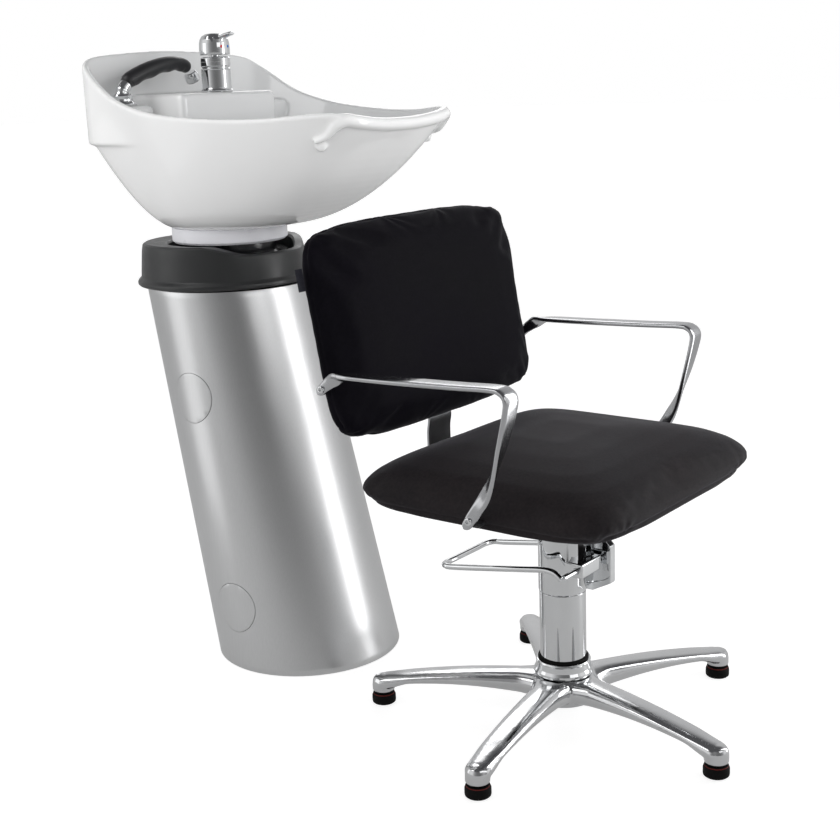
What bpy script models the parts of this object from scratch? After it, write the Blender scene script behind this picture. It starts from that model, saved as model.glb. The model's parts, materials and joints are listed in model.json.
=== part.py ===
"""Shampoo backwash unit: a tilting ceramic hair-wash basin on a leaning steel column, with a
hydraulic chair on a five-legged base in front of it.

Frame: metres, +Z up, the origin at the centre of the column's foot on the floor.  The chair stands
towards -Y and faces -Y, and +X is the sitter's left.
"""
from math import copysign, cos, pi, radians, sin, sqrt

import bmesh
import bpy
from mathutils import Vector

for old in list(bpy.data.objects):
    bpy.data.objects.remove(old, do_unlink=True)

# ---------------------------------------------------------------- driving dimensions (metres)
GAP = 0.0003                 # clearance left between pieces that touch

# column
FOOT_R = 0.168               # outer radius of the column at the floor
SHELL_TOP_Z = 0.672
SHELL_TOP_R = 0.1485
SHELL_WALL = 0.002
COLUMN_SEGS = 40
LEAN = 0.165 / 0.741         # backward shift of the column's centre for each metre of height
CAP_R = 0.0445               # blanking caps on the side of the column
CAPS = (("access_cap_upper", 0.486), ("access_cap_lower", 0.113))   # name, height
CAP_PROUD = 0.0006
BASE_PLATE_T = 0.006
HEAD_PLATE_Z = (0.646, 0.652)
WASTE_Y = -0.070             # waste outlet in the base plate
POST_OFFSET = 0.098          # the post stands behind the pipes
RING_TOP_Z = 0.749
RING_R = 0.145
RING_STEP = 0.016            # how far the ring's front dips
RING_SEGS = 32
HOLE_R = 0.113
FLANGE_R = 0.1565

# basin
AXIS_Y = 0.140               # centre of the tilt socket and of the white collar
TILT_Z = 0.706
BALL_R = 0.090
SOCKET_SEAT_R = BALL_R + 0.0016
SEAT_BAND = 0.0185           # half height of the socket's spherical seat
COLLAR_R = 0.104
COLLAR_BORE_R = 0.0895
BOWL_Z = 0.776               # underside of the bowl
FLOOR_Z = 0.792              # inside floor of the bowl
FLOOR_Y = 0.066              # centre of the inside floor
FLOOR_R = 0.055
BOTTOM_R = 0.0985            # underside of the bowl, centred on the tilt axis
BOWL_HALF_STATIONS = 18      # stations on each side of the basin
DRAIN_Y = 0.085
LEDGE_Y = 0.1155             # front face of the tap ledge
LEDGE_Z = 1.010
LEDGE_HALF = 0.118
TAP_Y = 0.148
TAP_R = 0.0262
STEP_Z = 0.925               # lower edge of the skirt round the back of the basin
SKIRT = 0.012
HOLDER = (-0.175, 0.200)     # x, y of the handset holder on the basin's right rear shelf
SHELF_Z = 0.992
HOLDER_Z = SHELF_Z + GAP

# rim of the basin, front centre to back centre on the +X side: x, y, z of the outer edge
RIM = (
    (0.000, -0.268, 0.960), (0.052, -0.270, 0.9615), (0.104, -0.271, 0.967),
    (0.141, -0.258, 0.972), (0.168, -0.222, 0.973), (0.204, -0.130, 0.968),
    (0.232, -0.020, 0.972), (0.239, 0.080, 0.984), (0.232, 0.165, 1.008),
    (0.219, 0.236, 1.050), (0.191, 0.268, 1.072), (0.110, 0.275, 1.081),
    (0.000, 0.277, 1.085))

# chair
CHAIR_Y = -0.560             # centre of the star base, the pump and the seat's swivel
STAR_R = 0.304               # distance of the foot pads from the centre
STAR_TURN = radians(115.5)
PAD_R = 0.0200
TUBE_R = 0.0375
TUBE_BORE_R = 0.0355
HEAD_Z = (0.216, 0.334)      # bottom and top of the pump head
RAM_R = 0.014
RAM_TOP_Z = 0.3345
AXLE_Y, AXLE_Z = -0.604, 0.262   # foot bar's axle
FOOT_BAR_X = 0.0735          # foot bar's side arms
AXLE_HALF = FOOT_BAR_X - 0.0053
SEAT_HALF = 0.262
SEAT_Y = (-0.787, -0.330)
BOARD_Z = 0.3756
SEAT_BOTTOM_Z = 0.3850
SEAT_EDGE_Z = 0.410
SEAT_TOP_Z = 0.476
BACK_TILT = radians(10.5)
BACK_FOOT = (-0.366, 0.482)  # y, z of the backrest's lower front edge
BACK_HALF = 0.264
BACK_H = 0.340
BACK_T = 0.0400
STRAP_HALF = 0.030           # half width of the flat bar up the back
STRAP_TOP = 0.250            # its upper end, measured up the backrest
STRAP_DEPTH = BACK_T + 0.0006
SLOT_PLAY = 0.0006
ARM_X = 0.2740
ARM_W, ARM_T = 0.033, 0.009
BRACKET_Y = -0.5775
BRACKET_HALF = 0.0120

X_DIR, Y_DIR, Z_DIR = Vector((1, 0, 0)), Vector((0, 1, 0)), Vector((0, 0, 1))
# backrest frame: its foot, up the back, and rearward through its thickness
BACK_ORIGIN = Vector((0, *BACK_FOOT))
BACK_UP = Vector((0, sin(BACK_TILT), cos(BACK_TILT)))
BACK_REAR = Vector((0, cos(BACK_TILT), -sin(BACK_TILT)))

# ---------------------------------------------------------------- materials
MATERIALS = {}


def material(name, colour, roughness, metallic=0.0, coat=0.0):
    mat = bpy.data.materials.new(name)
    mat.use_nodes = True
    shader = mat.node_tree.nodes["Principled BSDF"].inputs
    shader["Base Color"].default_value = (*colour, 1.0)
    shader["Roughness"].default_value = roughness
    shader["Metallic"].default_value = metallic
    shader["Coat Weight"].default_value = coat
    MATERIALS[name] = mat


material("white_ceramic", colour=(0.86, 0.86, 0.85), roughness=0.12, coat=0.6)
material("white_collar", colour=(0.80, 0.80, 0.82), roughness=0.30)
material("brushed_steel", colour=(0.60, 0.61, 0.62), roughness=0.30, metallic=1.0)
material("grey_plastic", colour=(0.055, 0.057, 0.058), roughness=0.45)
material("black_gloss", colour=(0.012, 0.012, 0.014), roughness=0.15)
material("chrome", colour=(0.80, 0.81, 0.82), roughness=0.06, metallic=1.0)
material("grip_black", colour=(0.020, 0.020, 0.022), roughness=0.40)
material("spray_grey", colour=(0.10, 0.10, 0.10), roughness=0.5)
material("steel_frame", colour=(0.45, 0.46, 0.47), roughness=0.40, metallic=1.0)
material("black_paint", colour=(0.030, 0.030, 0.032), roughness=0.45)
material("pipe_plastic", colour=(0.55, 0.55, 0.56), roughness=0.5)
material("braided_hose", colour=(0.55, 0.56, 0.57), roughness=0.40, metallic=1.0)
material("arm_aluminium", colour=(0.66, 0.67, 0.68), roughness=0.22, metallic=1.0)
material("star_aluminium", colour=(0.72, 0.73, 0.74), roughness=0.14, metallic=1.0)
material("black_rubber", colour=(0.018, 0.017, 0.017), roughness=0.75)
material("plywood", colour=(0.45, 0.30, 0.17), roughness=0.65)
material("upholstery", colour=(0.016, 0.015, 0.022), roughness=0.62)
material("tag_fabric", colour=(0.020, 0.019, 0.022), roughness=0.80)

# ---------------------------------------------------------------- objects and booleans
PIVOTS = {}                  # name: (empty, world position)


def pivot(name, at, parent=None):
    empty = bpy.data.objects.new(name, None)
    empty.empty_display_size = 0.05
    bpy.context.scene.collection.objects.link(empty)
    empty.location = Vector(at) - (PIVOTS[parent][1] if parent else Vector())
    if parent:
        empty.parent = PIVOTS[parent][0]
    PIVOTS[name] = (empty, Vector(at))


def finish(name, bm, mat, parent=None, smooth=35.0):
    """Turn a bmesh in world coordinates into an object with its origin on its parent's pivot.
    smooth: the angle in degrees above which an edge stays sharp, or 0 for flat shading."""
    bmesh.ops.recalc_face_normals(bm, faces=bm.faces[:])
    origin = PIVOTS[parent][1] if parent else Vector()
    bmesh.ops.translate(bm, verts=bm.verts[:], vec=-origin)
    mesh = bpy.data.meshes.new(name)
    bm.to_mesh(mesh)
    bm.free()
    if smooth:
        mesh.shade_smooth()
        mesh.set_sharp_from_angle(angle=radians(smooth))
    ob = bpy.data.objects.new(name, mesh)
    bpy.context.scene.collection.objects.link(ob)
    if mat:
        mesh.materials.append(MATERIALS[mat])
    if parent:
        ob.parent = PIVOTS[parent][0]
    return ob


def cut(ob, bm, operation="DIFFERENCE"):
    """Boolean ob with a closed bmesh in world coordinates, kept as a hidden wire guide."""
    index = len(ob.modifiers)
    guide = finish(f"guide_{ob.name}_{index}", bm, None, smooth=0)
    guide.hide_render = True
    guide.display_type = "WIRE"
    modifier = ob.modifiers.new(f"bool_{index}", "BOOLEAN")
    modifier.operation = operation
    modifier.object = guide
    modifier.solver = "EXACT"


# ---------------------------------------------------------------- shapes
def skin(loops, close=False):
    """Skin equal-length point loops; close joins the last to the first, otherwise ends are capped."""
    bm = bmesh.new()
    rows = [[bm.verts.new(p) for p in loop] for loop in loops]
    count = len(rows[0])
    pairs = list(zip(rows[:-1], rows[1:]))
    if close:
        pairs.append((rows[-1], rows[0]))
    for a, b in pairs:
        for i in range(count):
            j = (i + 1) % count
            bm.faces.new((a[i], a[j], b[j], b[i]))
    if not close:
        bm.faces.new(rows[0][::-1])
        bm.faces.new(rows[-1])
    return bm


def circle(centre, radius, segs, z):
    angles = [2 * pi * i / segs for i in range(segs)]
    return [Vector((centre[0] + radius * cos(a), centre[1] + radius * sin(a), z)) for a in angles]


def turned(profile, segs, centre, ring=True, base_z=0.0):
    """Turn a profile of (radius, height above base_z) about a vertical axis through centre.
    ring: the profile is closed on itself; otherwise its two ends are capped flat."""
    return skin([circle(centre, r, segs, base_z + z) for r, z in profile], close=ring)


def rod(start, end, radius, segs, end_radius=None):
    """A straight round bar between two points."""
    start, end = Vector(start), Vector(end)
    turn = (end - start).to_track_quat("Z", "Y")
    ends = ((start, radius), (end, radius if end_radius is None else end_radius))
    return skin([[c + turn @ p for p in circle((0, 0), r, segs, 0.0)] for c, r in ends])


def upright(centre, z_low, z_high, radius, segs):
    """A vertical round bar."""
    return rod((*centre, z_low), (*centre, z_high), radius, segs)


def bevel(bm, edges, width, segs=1):
    bmesh.ops.bevel(bm, geom=edges, offset=width, segments=segs, profile=0.5,
                    affect="EDGES", clamp_overlap=True)


def box(low, high):
    bm = bmesh.new()
    bmesh.ops.create_cube(bm, size=1.0)
    for v in bm.verts:
        v.co = Vector([low[k] + (v.co[k] + 0.5) * (high[k] - low[k]) for k in range(3)])
    return bm


def bevelled_box(low, high, width):
    bm = box(low, high)
    bevel(bm, bm.edges[:], width)
    return bm


def catmull_rom(p0, p1, p2, p3, t):
    return 0.5 * ((2 * p1) + (p2 - p0) * t + (2 * p0 - 5 * p1 + 4 * p2 - p3) * t * t
                  + (3 * p1 - p0 - 3 * p2 + p3) * t ** 3)


def spline(points, steps):
    """A Catmull-Rom curve through the points, with so many steps to each span."""
    pts = [Vector(p) for p in points]
    pts = [2 * pts[0] - pts[1]] + pts + [2 * pts[-1] - pts[-2]]
    curve = [catmull_rom(*pts[k:k + 4], i / steps)
             for k in range(len(pts) - 3) for i in range(steps)]
    return curve + [pts[-2]]


def heading(path, i):
    return (path[min(i + 1, len(path) - 1)] - path[max(i - 1, 0)]).normalized()


def swept(path, radius, segs, up=X_DIR, carry=False):
    """A round bar along a path.  radius is a number or a function of the fraction along it;
    carry turns the section with the path, for a path that bends in more than one plane."""
    loops = []
    for i, p in enumerate(path):
        ahead = heading(path, i)
        a = (up - ahead * up.dot(ahead)).normalized()
        b = ahead.cross(a)
        if carry:
            up = a
        r = radius(i / (len(path) - 1)) if callable(radius) else radius
        angles = [2 * pi * k / segs for k in range(segs)]
        loops.append([p + a * r * cos(angle) + b * r * sin(angle) for angle in angles])
    return skin(loops)


def flat_bar(path, across, half_width, half_thick):
    """A flat bar along a path that bends in the plane square to across."""
    loops = []
    for i, p in enumerate(path):
        face = across.cross(heading(path, i))
        loops.append([p + across * (w * half_width) + face * (t * half_thick)
                      for w, t in ((-1, -1), (1, -1), (1, 1), (-1, 1))])
    return skin(loops)


def pillow(centre, across, along, out, rows, segs, power):
    """A cushion of superellipse sections from rows of (offset, half across, half along)."""
    loops = []
    for offset, half_across, half_along in rows:
        loop = []
        for i in range(segs):
            c, s = cos(2 * pi * i / segs), sin(2 * pi * i / segs)
            x = copysign(abs(c) ** (2 / power), c)
            y = copysign(abs(s) ** (2 / power), s)
            loop.append(centre + across * (x * half_across) + along * (y * half_along)
                        + out * offset)
        loops.append(loop)
    return skin(loops)


def smoothstep(x, start, end):
    t = min(max((x - start) / (end - start), 0.0), 1.0)
    return t * t * (3 - 2 * t)


def lean_y(z):
    """The column's centre at height z."""
    return LEAN * z


# ---------------------------------------------------------------- joints' pivots
TILT, SWIVEL = "basin_tilt_pivot", "seat_swivel_pivot"
pivot(TILT, (0, AXIS_Y, TILT_Z))
pivot("tap_swivel_pivot", (0, TAP_Y, LEDGE_Z + 0.0530), TILT)
pivot("tap_lever_pivot", (0, TAP_Y + 0.018, LEDGE_Z + 0.0670), "tap_swivel_pivot")
pivot("handset_pivot", (*HOLDER, SHELF_Z + 0.020), TILT)
pivot("strainer_pivot", (0, DRAIN_Y, 0.798), TILT)
pivot("foot_bar_pivot", (0, AXLE_Y, AXLE_Z))
pivot("lift_pivot", (0, CHAIR_Y, RAM_TOP_Z))
pivot(SWIVEL, (0, CHAIR_Y, 0.3350), "lift_pivot")


# ---------------------------------------------------------------- column
def shell_r(z):
    return FOOT_R + (SHELL_TOP_R - FOOT_R) * z / SHELL_TOP_Z


def sleeve(inset):
    """The full-height leaning shell, its outer face moved in by inset."""
    corners = ((inset, 0.0), (inset, SHELL_TOP_Z), (SHELL_WALL, SHELL_TOP_Z), (SHELL_WALL, 0.0))
    return skin([circle((0, lean_y(z)), shell_r(z) - d, COLUMN_SEGS, z) for d, z in corners],
                close=True)


def column_shell_and_caps():
    """The shell with two round holes on its -X side, and the caps that fill them."""
    shell = finish("column_shell", sleeve(0), "brushed_steel")
    for name, z in CAPS:
        cap = finish(name, sleeve(-CAP_PROUD), "brushed_steel")
        x, y = -shell_r(z), lean_y(z)
        start, end = (x - 0.03, y, z), (x + 0.03, y, z)
        cut(shell, rod(start, end, CAP_R + GAP, 24))
        cut(cap, rod(start, end, CAP_R, 24), "INTERSECT")


def base_plate():
    """A disc inside the column's foot, with the waste outlet and three small holes."""
    radius = FOOT_R - SHELL_WALL - 0.004
    plate = finish("base_plate", turned([(radius, 0.0), (radius, BASE_PLATE_T)], 24, (0, 0),
                                        ring=False), "steel_frame")
    cut(plate, upright((0, WASTE_Y), -0.01, 0.02, 0.030, 16))
    hole_circle_r = 0.125
    for angle in (30, 150, 270):
        centre = (hole_circle_r * cos(radians(angle)), hole_circle_r * sin(radians(angle)))
        cut(plate, upright(centre, -0.01, 0.02, 0.006, 8))


def post_and_head_plate():
    ends = (BASE_PLATE_T + GAP, HEAD_PLATE_Z[0] - GAP)
    finish("support_post", skin([circle((0, lean_y(z) + POST_OFFSET), 0.024, 12, z)
                                 for z in ends]), "steel_frame")
    low, high = HEAD_PLATE_Z
    profile = [(0.1440, low), (0.1440, high), (0.088, high), (0.088, low)]
    finish("head_plate", turned(profile, 24, (0, lean_y((low + high) / 2))), "steel_frame")


def ring_dip(angle):
    """How far the ring's top edge has dropped at an angle, the front being at -90 degrees."""
    off_front = abs((angle + pi / 2 + pi) % (2 * pi) - pi)
    return RING_STEP * (1 - smoothstep(off_front, radians(25), radians(66)))


def ring_cover():
    """The column's plastic top; its outside follows the column, its hole the tilt axis."""
    ring_y = lean_y(0.717)
    profile = [  # radius, height, share of the front's dip, centre y
        (FLANGE_R, 0.6735, 0, ring_y), (FLANGE_R + 0.0015, 0.679, 0, ring_y),
        (FLANGE_R - 0.002, 0.6850, 0, ring_y), (RING_R + 0.0075, 0.6875, 0, ring_y),
        (RING_R + 0.0055, 0.6965, 0, ring_y), (RING_R + 0.002, 0.735, 0.6, ring_y),
        (RING_R - 0.001, 0.7455, 1, ring_y), (RING_R - 0.005, RING_TOP_Z, 1, ring_y),
        (HOLE_R + 0.003, RING_TOP_Z - 0.001, 1, AXIS_Y), (HOLE_R, RING_TOP_Z - 0.005, 1, AXIS_Y),
        (HOLE_R, 0.703, 0, AXIS_Y), (RING_R + 0.0025, 0.681, 0, ring_y),
        (RING_R + 0.0025, 0.6735, 0, ring_y)]
    angles = [2 * pi * i / RING_SEGS for i in range(RING_SEGS)]
    finish("ring_cover", skin([[Vector((r * cos(a), y + r * sin(a), z - dip * ring_dip(a)))
                                for a in angles] for r, z, dip, y in profile], close=True),
           "grey_plastic", smooth=50)


def sphere_r(radius, height):
    """Radius of a sphere's section at a height from its centre."""
    return sqrt(radius ** 2 - height * height)


def tilt_socket():
    edge_r = sphere_r(SOCKET_SEAT_R, SEAT_BAND)
    bottom = HEAD_PLATE_Z[1] + GAP
    finish("tilt_socket", turned([
        (0.097, bottom), (0.106, bottom), (0.1085, 0.706), (0.1085, 0.7225), (0.102, 0.7285),
        (edge_r + 0.001, 0.7260), (edge_r, TILT_Z + SEAT_BAND), (SOCKET_SEAT_R, TILT_Z),
        (edge_r, TILT_Z - SEAT_BAND), (0.097, 0.684)], 24, (0, AXIS_Y)), "black_gloss")


def column_pipes():
    """Waste and water pipes inside the column."""
    finish("waste_bell", turned([
        (0.022, 0.5700), (0.044, 0.5850), (0.047, 0.6250), (0.0445, 0.6250), (0.0415, 0.5870),
        (0.0195, 0.5735)], 16, (0, DRAIN_Y + 0.005)), "pipe_plastic")

    # the waste hose is fatter over its middle part
    hose = spline([
        (0, 0.090, 0.5670), (0, 0.0898, 0.545), (0, 0.082, 0.505), (0, 0.060, 0.43),
        (0, 0.022, 0.30), (0, -0.026, 0.17), (0, WASTE_Y + 0.005, 0.07), (0, WASTE_Y, 0.020),
        (0, WASTE_Y, 0.0010)], 2)
    finish("waste_hose", swept(
        hose, lambda t: 0.0215 + 0.0085 * (smoothstep(t, 0.2, 0.26) - smoothstep(t, 0.5, 0.56)),
        12), "pipe_plastic")

    # each supply pipe has a fatter length near its foot
    for side, name in ((-1, "supply_pipe_hot"), (1, "supply_pipe_cold")):
        pipe = spline([
            (side * 0.085, 0.000, 0.0066), (side * 0.085, 0.002, 0.05),
            (side * 0.084, 0.008, 0.13), (side * 0.070, 0.060, 0.33),
            (side * 0.058, 0.130, 0.565)], 3)
        finish(name, swept(
            pipe,
            lambda t: 0.0070 + 0.0095 * (smoothstep(t, 0.17, 0.2) - smoothstep(t, 0.36, 0.4)),
            8), "chrome")


column_shell_and_caps()
base_plate()
post_and_head_plate()
ring_cover()
tilt_socket()
column_pipes()


# ---------------------------------------------------------------- basin
def rim_point(t):
    """Outer edge of the rim at t, 0 at the front centre and 1 at the back centre."""
    pts = [Vector(p) for p in RIM]
    before, after = pts[1].copy(), pts[-2].copy()
    before.x, after.x = -before.x, -after.x
    pts = [before] + pts + [after]
    along = t * (len(RIM) - 1)
    k = min(int(along), len(RIM) - 2)
    return catmull_rom(*pts[k:k + 4], along - k)


def rim_outward(t):
    """Level outward direction of the rim's +X side at t."""
    if t == 0:
        return -Y_DIR
    if t == 1:
        return Y_DIR
    run = rim_point(min(t + 0.004, 1)) - rim_point(max(t - 0.004, 0))
    return Vector((run.y, -run.x, 0)).normalized()


def bowl_section(rim, outward, t):
    """Points up the bowl's outside, over its rolled rim and down inside to the floor."""
    neck = 1 - smoothstep(t, 0.12, 0.25)
    back = smoothstep(t, 0.60, 0.74)
    roll = 0.0058 + 0.0042 * neck            # radius of the rolled rim, fatter at the neck
    power = 0.47 - 0.04 * smoothstep(t, 0.25, 0.45) + 0.19 * smoothstep(t, 0.58, 0.80)
    edge_z = rim.z - roll
    height = edge_z - BOWL_Z
    step = (STEP_Z - BOWL_Z) / height        # skirt's lower edge as a share of the height
    edge = Vector((rim.x, rim.y, 0))
    axis = Vector((0, AXIS_Y, 0))
    foot = axis + (edge - axis).normalized() * BOTTOM_R
    points = []

    # below the step, drawn in under the skirt at the back
    under = edge - outward * SKIRT * back
    step_reach = (1 - back) * step ** power + back
    for f in (0.0, 0.25, 0.48, 0.68, 0.86, 1.0):
        p = foot + (under - foot) * (f * step_reach)
        points.append(Vector((p.x, p.y, BOWL_Z + height * step * f ** (1 / power))))

    # above the step: share of the height, share of the skirt's depth still drawn in
    for h, drawn in ((step + 0.012, 0.25), (step + 0.035, 0.0), (0.5 + 0.5 * step, 0.0)):
        reach = (1 - back) * h ** power + back
        p = foot + (edge - outward * (SKIRT * back * drawn) - foot) * reach
        points.append(Vector((p.x, p.y, BOWL_Z + height * h)))
    points.append(Vector((edge.x, edge.y, edge_z)))

    for angle in (radians(45), radians(90), radians(135)):
        p = edge - outward * roll * (1 - cos(angle))
        points.append(Vector((p.x, p.y, edge_z + roll * sin(angle))))

    inner_edge = edge - outward * roll * 2
    centre = Vector((0, FLOOR_Y, 0))
    floor = centre + (inner_edge - centre).normalized() * FLOOR_R
    for w in (1.0, 0.97, 0.88, 0.72, 0.50, 0.25, 0.0):
        p = floor + (inner_edge - floor) * w
        points.append(Vector((p.x, p.y, FLOOR_Z + (edge_z - FLOOR_Z) * w ** (1 / 0.44))))
    return points


def tap_ledge():
    """The block under the tap, with its front and top edges rounded."""
    outline = ((LEDGE_Y, 0.800), (0.208, 0.800), (0.268, 0.945), (0.268, LEDGE_Z),
               (LEDGE_Y, LEDGE_Z))
    bm = skin([[Vector((x, y, z)) for y, z in outline] for x in (-LEDGE_HALF, LEDGE_HALF)])
    edges = [e for e in bm.edges if min(v.co.y for v in e.verts) < 0.12
             or min(v.co.z for v in e.verts) > LEDGE_Z - 0.001]
    bevel(bm, edges, 0.010, segs=2)
    return bm


def basin_bowl():
    sections = []
    for i in range(2 * BOWL_HALF_STATIONS):
        share = i / BOWL_HALF_STATIONS
        t, side = (share, 1) if i <= BOWL_HALF_STATIONS else (2 - share, -1)
        rim, outward = rim_point(t), rim_outward(t)
        sections.append(bowl_section(Vector((side * rim.x, rim.y, rim.z)),
                                     Vector((side * outward.x, outward.y, 0)), t))
    bowl = finish("basin_bowl", skin(list(zip(*sections))), "white_ceramic", TILT, smooth=42)
    cut(bowl, tap_ledge(), "UNION")
    # a shelf in each rear corner, with a round clearance above it
    for side in (-1, 1):
        x_low, x_high = sorted((side * 0.128, side * 0.2080))
        cut(bowl, bevelled_box((x_low, 0.170, 0.93), (x_high, 0.256, SHELF_Z), 0.008), "UNION")
        cut(bowl, upright((side * abs(HOLDER[0]), HOLDER[1]), SHELF_Z, 1.10, 0.0272, 18))
    # pocket under the tap, then the tap, drain and holder bores
    cut(bowl, box((-0.045, 0.1335, 0.75), (0.045, 0.205, LEDGE_Z - 0.019)))
    cut(bowl, upright((0, TAP_Y), LEDGE_Z - 0.03, LEDGE_Z + 0.02, 0.0163, 14))
    cut(bowl, upright((0, DRAIN_Y), 0.75, 0.83, 0.0205, 18))
    cut(bowl, upright(HOLDER, 0.80, 1.02, 0.0095, 10))


def basin_fittings():
    """Collar, tilt ball, waste fitting and strainer."""
    top = BOWL_Z - GAP
    finish("basin_collar", turned([
        (COLLAR_R - 0.004, 0.748), (COLLAR_R, 0.752), (COLLAR_R, top), (COLLAR_BORE_R, top),
        (COLLAR_BORE_R, 0.748)], 32, (0, AXIS_Y)), "white_collar", TILT)

    ball = [(sphere_r(BALL_R, z - TILT_Z), z) for z in (0.688, 0.697, 0.706, 0.715, 0.724)]
    finish("tilt_ball", turned(
        [(0.080, 0.688)] + ball + [(0.0825, 0.729), (0.0825, 0.766), (0.0888, 0.7665),
                                   (0.0888, top), (0.080, top)], 24, (0, AXIS_Y)),
           "chrome", TILT)

    finish("waste_fitting", turned([
        (0.0165, 0.612), (0.0195, 0.612), (0.0195, FLOOR_Z + GAP), (0.030, FLOOR_Z + GAP),
        (0.0305, 0.7945), (0.024, 0.7955), (0.0165, 0.7935)], 18, (0, DRAIN_Y)), "chrome", TILT)

    finish("strainer", turned([
        (0.0225, 0.7962), (0.0225, 0.7974), (0.0120, 0.7997), (0.0040, 0.8002),
        (0.0040, 0.7982), (0.0120, 0.7977), (0.0200, 0.7962)], 16, (0, DRAIN_Y)),
           "chrome", "strainer_pivot")


def tap():
    """Tap body and hoses, then the cartridge and the lever; heights are above the ledge."""
    centre = (0, TAP_Y)
    finish("tap_body", turned([
        (0.0145, -0.068), (0.0145, GAP), (0.0285, GAP), (0.0285, 0.0035), (TAP_R, 0.0055),
        (TAP_R, 0.0390), (TAP_R - 0.0015, 0.0405), (TAP_R - 0.0015, 0.0425), (TAP_R, 0.0440),
        (TAP_R, 0.0505)], 20, centre, ring=False, base_z=LEDGE_Z), "chrome", TILT)

    for side, name in ((-1, "supply_hose_hot"), (1, "supply_hose_cold")):
        hose = spline([
            (side * 0.0075, TAP_Y, LEDGE_Z - 0.0705), (side * 0.012, TAP_Y + 0.004, 0.90),
            (side * 0.024, TAP_Y + 0.010, 0.82), (side * 0.030, TAP_Y + 0.010, 0.70),
            (side * 0.030, TAP_Y + 0.008, 0.605)], 2)
        finish(name, swept(hose, 0.0055, 8), "braided_hose", TILT)

    finish("tap_cartridge", turned([
        (TAP_R, 0.0508), (TAP_R, 0.0570), (TAP_R - 0.002, 0.0595), (0.0075, 0.0595),
        (0.0075, 0.0750), (0.0055, 0.0765)], 20, centre, ring=False, base_z=LEDGE_Z),
           "chrome", "tap_swivel_pivot")

    lever = finish("tap_lever", turned([
        (0.0145, 0.0625), (TAP_R + 0.0005, 0.0625), (TAP_R + 0.0008, 0.0730), (TAP_R, 0.0870),
        (TAP_R - 0.004, 0.0945), (TAP_R - 0.011, 0.0985), (0.004, 0.1000), (0.004, 0.0870),
        (0.0145, 0.0840)], 20, centre, base_z=LEDGE_Z), "chrome", "tap_lever_pivot")
    # a plug closes the lever's centre; the handle reaches forward from it
    cut(lever, upright(centre, LEDGE_Z + 0.0855, LEDGE_Z + 0.0994, 0.0062, 10), "UNION")
    handle = (  # distance in front of the tap's axis, height, half width, half height
        (0.012, 0.0915, 0.0090, 0.0040), (0.028, 0.0950, 0.0085, 0.0035),
        (0.042, 0.0975, 0.0065, 0.0030), (0.046, 0.0980, 0.0040, 0.0018))
    octagon = ((-1, -0.5), (-0.6, -1), (0.6, -1), (1, -0.5),
               (1, 0.5), (0.6, 1), (-0.6, 1), (-1, 0.5))
    cut(lever, skin([[Vector((x * half_w, TAP_Y - ahead, LEDGE_Z + height + z * half_h))
                      for x, z in octagon] for ahead, height, half_w, half_h in handle]), "UNION")


def handset_holder():
    finish("handset_holder", turned([
        (0.0088, 0.950), (0.0088, HOLDER_Z), (0.0235, HOLDER_Z), (0.0240, HOLDER_Z + 0.003),
        (0.0185, HOLDER_Z + 0.006), (0.0190, HOLDER_Z + 0.016), (0.0165, HOLDER_Z + 0.0195),
        (0.0135, HOLDER_Z + 0.0195), (0.0128, HOLDER_Z + 0.006), (0.0062, HOLDER_Z + 0.004),
        (0.0062, 0.950)], 18, HOLDER), "chrome", TILT)
    finish("handset_hose", turned([(0.0052, 0.880), (0.0052, HOLDER_Z + 0.0035)], 8, HOLDER,
                                  ring=False), "braided_hose", TILT)


def handset():
    """Hand shower, lying along the back of the basin with its neck in the holder."""
    parent = "handset_pivot"
    neck = spline([(HOLDER[0] + x, HOLDER[1], SHELF_Z + z) for x, z in (
        (0.0, 0.0068), (0.0, 0.0195), (0.004, 0.028), (0.013, 0.036))], 3)
    finish("handset_neck", swept(neck, lambda t: 0.0120 - 0.0012 * smoothstep(t, 0.25, 0.4), 14,
                                 Y_DIR), "chrome", parent)

    ahead = (neck[-1] - neck[-2]).normalized()
    start = neck[-1] + ahead * GAP
    grip_points = (  # x from the grip's start, y from the holder, z above the shelf
        (0.050, 0.002, 0.058), (0.095, 0.004, 0.0675), (0.130, 0.005, 0.0675),
        (0.147, 0.005, 0.061))
    grip = spline([start + ahead * 0.004, start + ahead * 0.012]
                  + [(start.x + x, HOLDER[1] + y, SHELF_Z + z) for x, y, z in grip_points], 3)
    finish("handset_grip", swept(
        [start] + grip,
        lambda t: 0.0125 + 0.0022 * sin(pi * min(t * 1.3, 1)) - 0.0015 * smoothstep(t, 0.9, 1),
        10, Y_DIR), "grip_black", parent)

    spray = Vector((0.45, 0, -0.89)).normalized()    # the way the head faces
    back = grip[-1] + (grip[-1] - grip[-2]).normalized() * 0.0022 + spray * 0.0075
    finish("handset_head", swept([back + spray * d for d in (0.0, 0.003, 0.014, 0.017)],
                                 lambda t: 0.0112 + 0.0022 * smoothstep(t, 0, 0.5), 18, Y_DIR),
           "chrome", parent)
    finish("spray_face", swept([back + spray * d for d in (0.0173, 0.0185)], 0.0110, 16, Y_DIR),
           "spray_grey", parent)


basin_bowl()
basin_fittings()
tap()
handset_holder()
handset()

# ---------------------------------------------------------------- chair: base and pump
CHAIR = (0, CHAIR_Y)
LEG_STATIONS = (  # distance from the centre, share of the width, top lowered, underside raised
    (0.020, 1, 0, 0), (0.060, 1, 0, 0), (0.120, 1, 0, 0), (0.190, 1, 0, 0), (0.255, 1, 0, 0),
    (0.300, 1, 0, 0), (0.318, 0.80, 0.005, 0), (0.3235, 0.45, 0.011, 0.003))
LEG_SECTION = (  # share of the half width, share of the height
    (-0.86, 0), (0.86, 0), (1, 0.38), (0.72, 0.80), (0.28, 1), (-0.28, 1), (-0.72, 0.80),
    (-1, 0.38))


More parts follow.
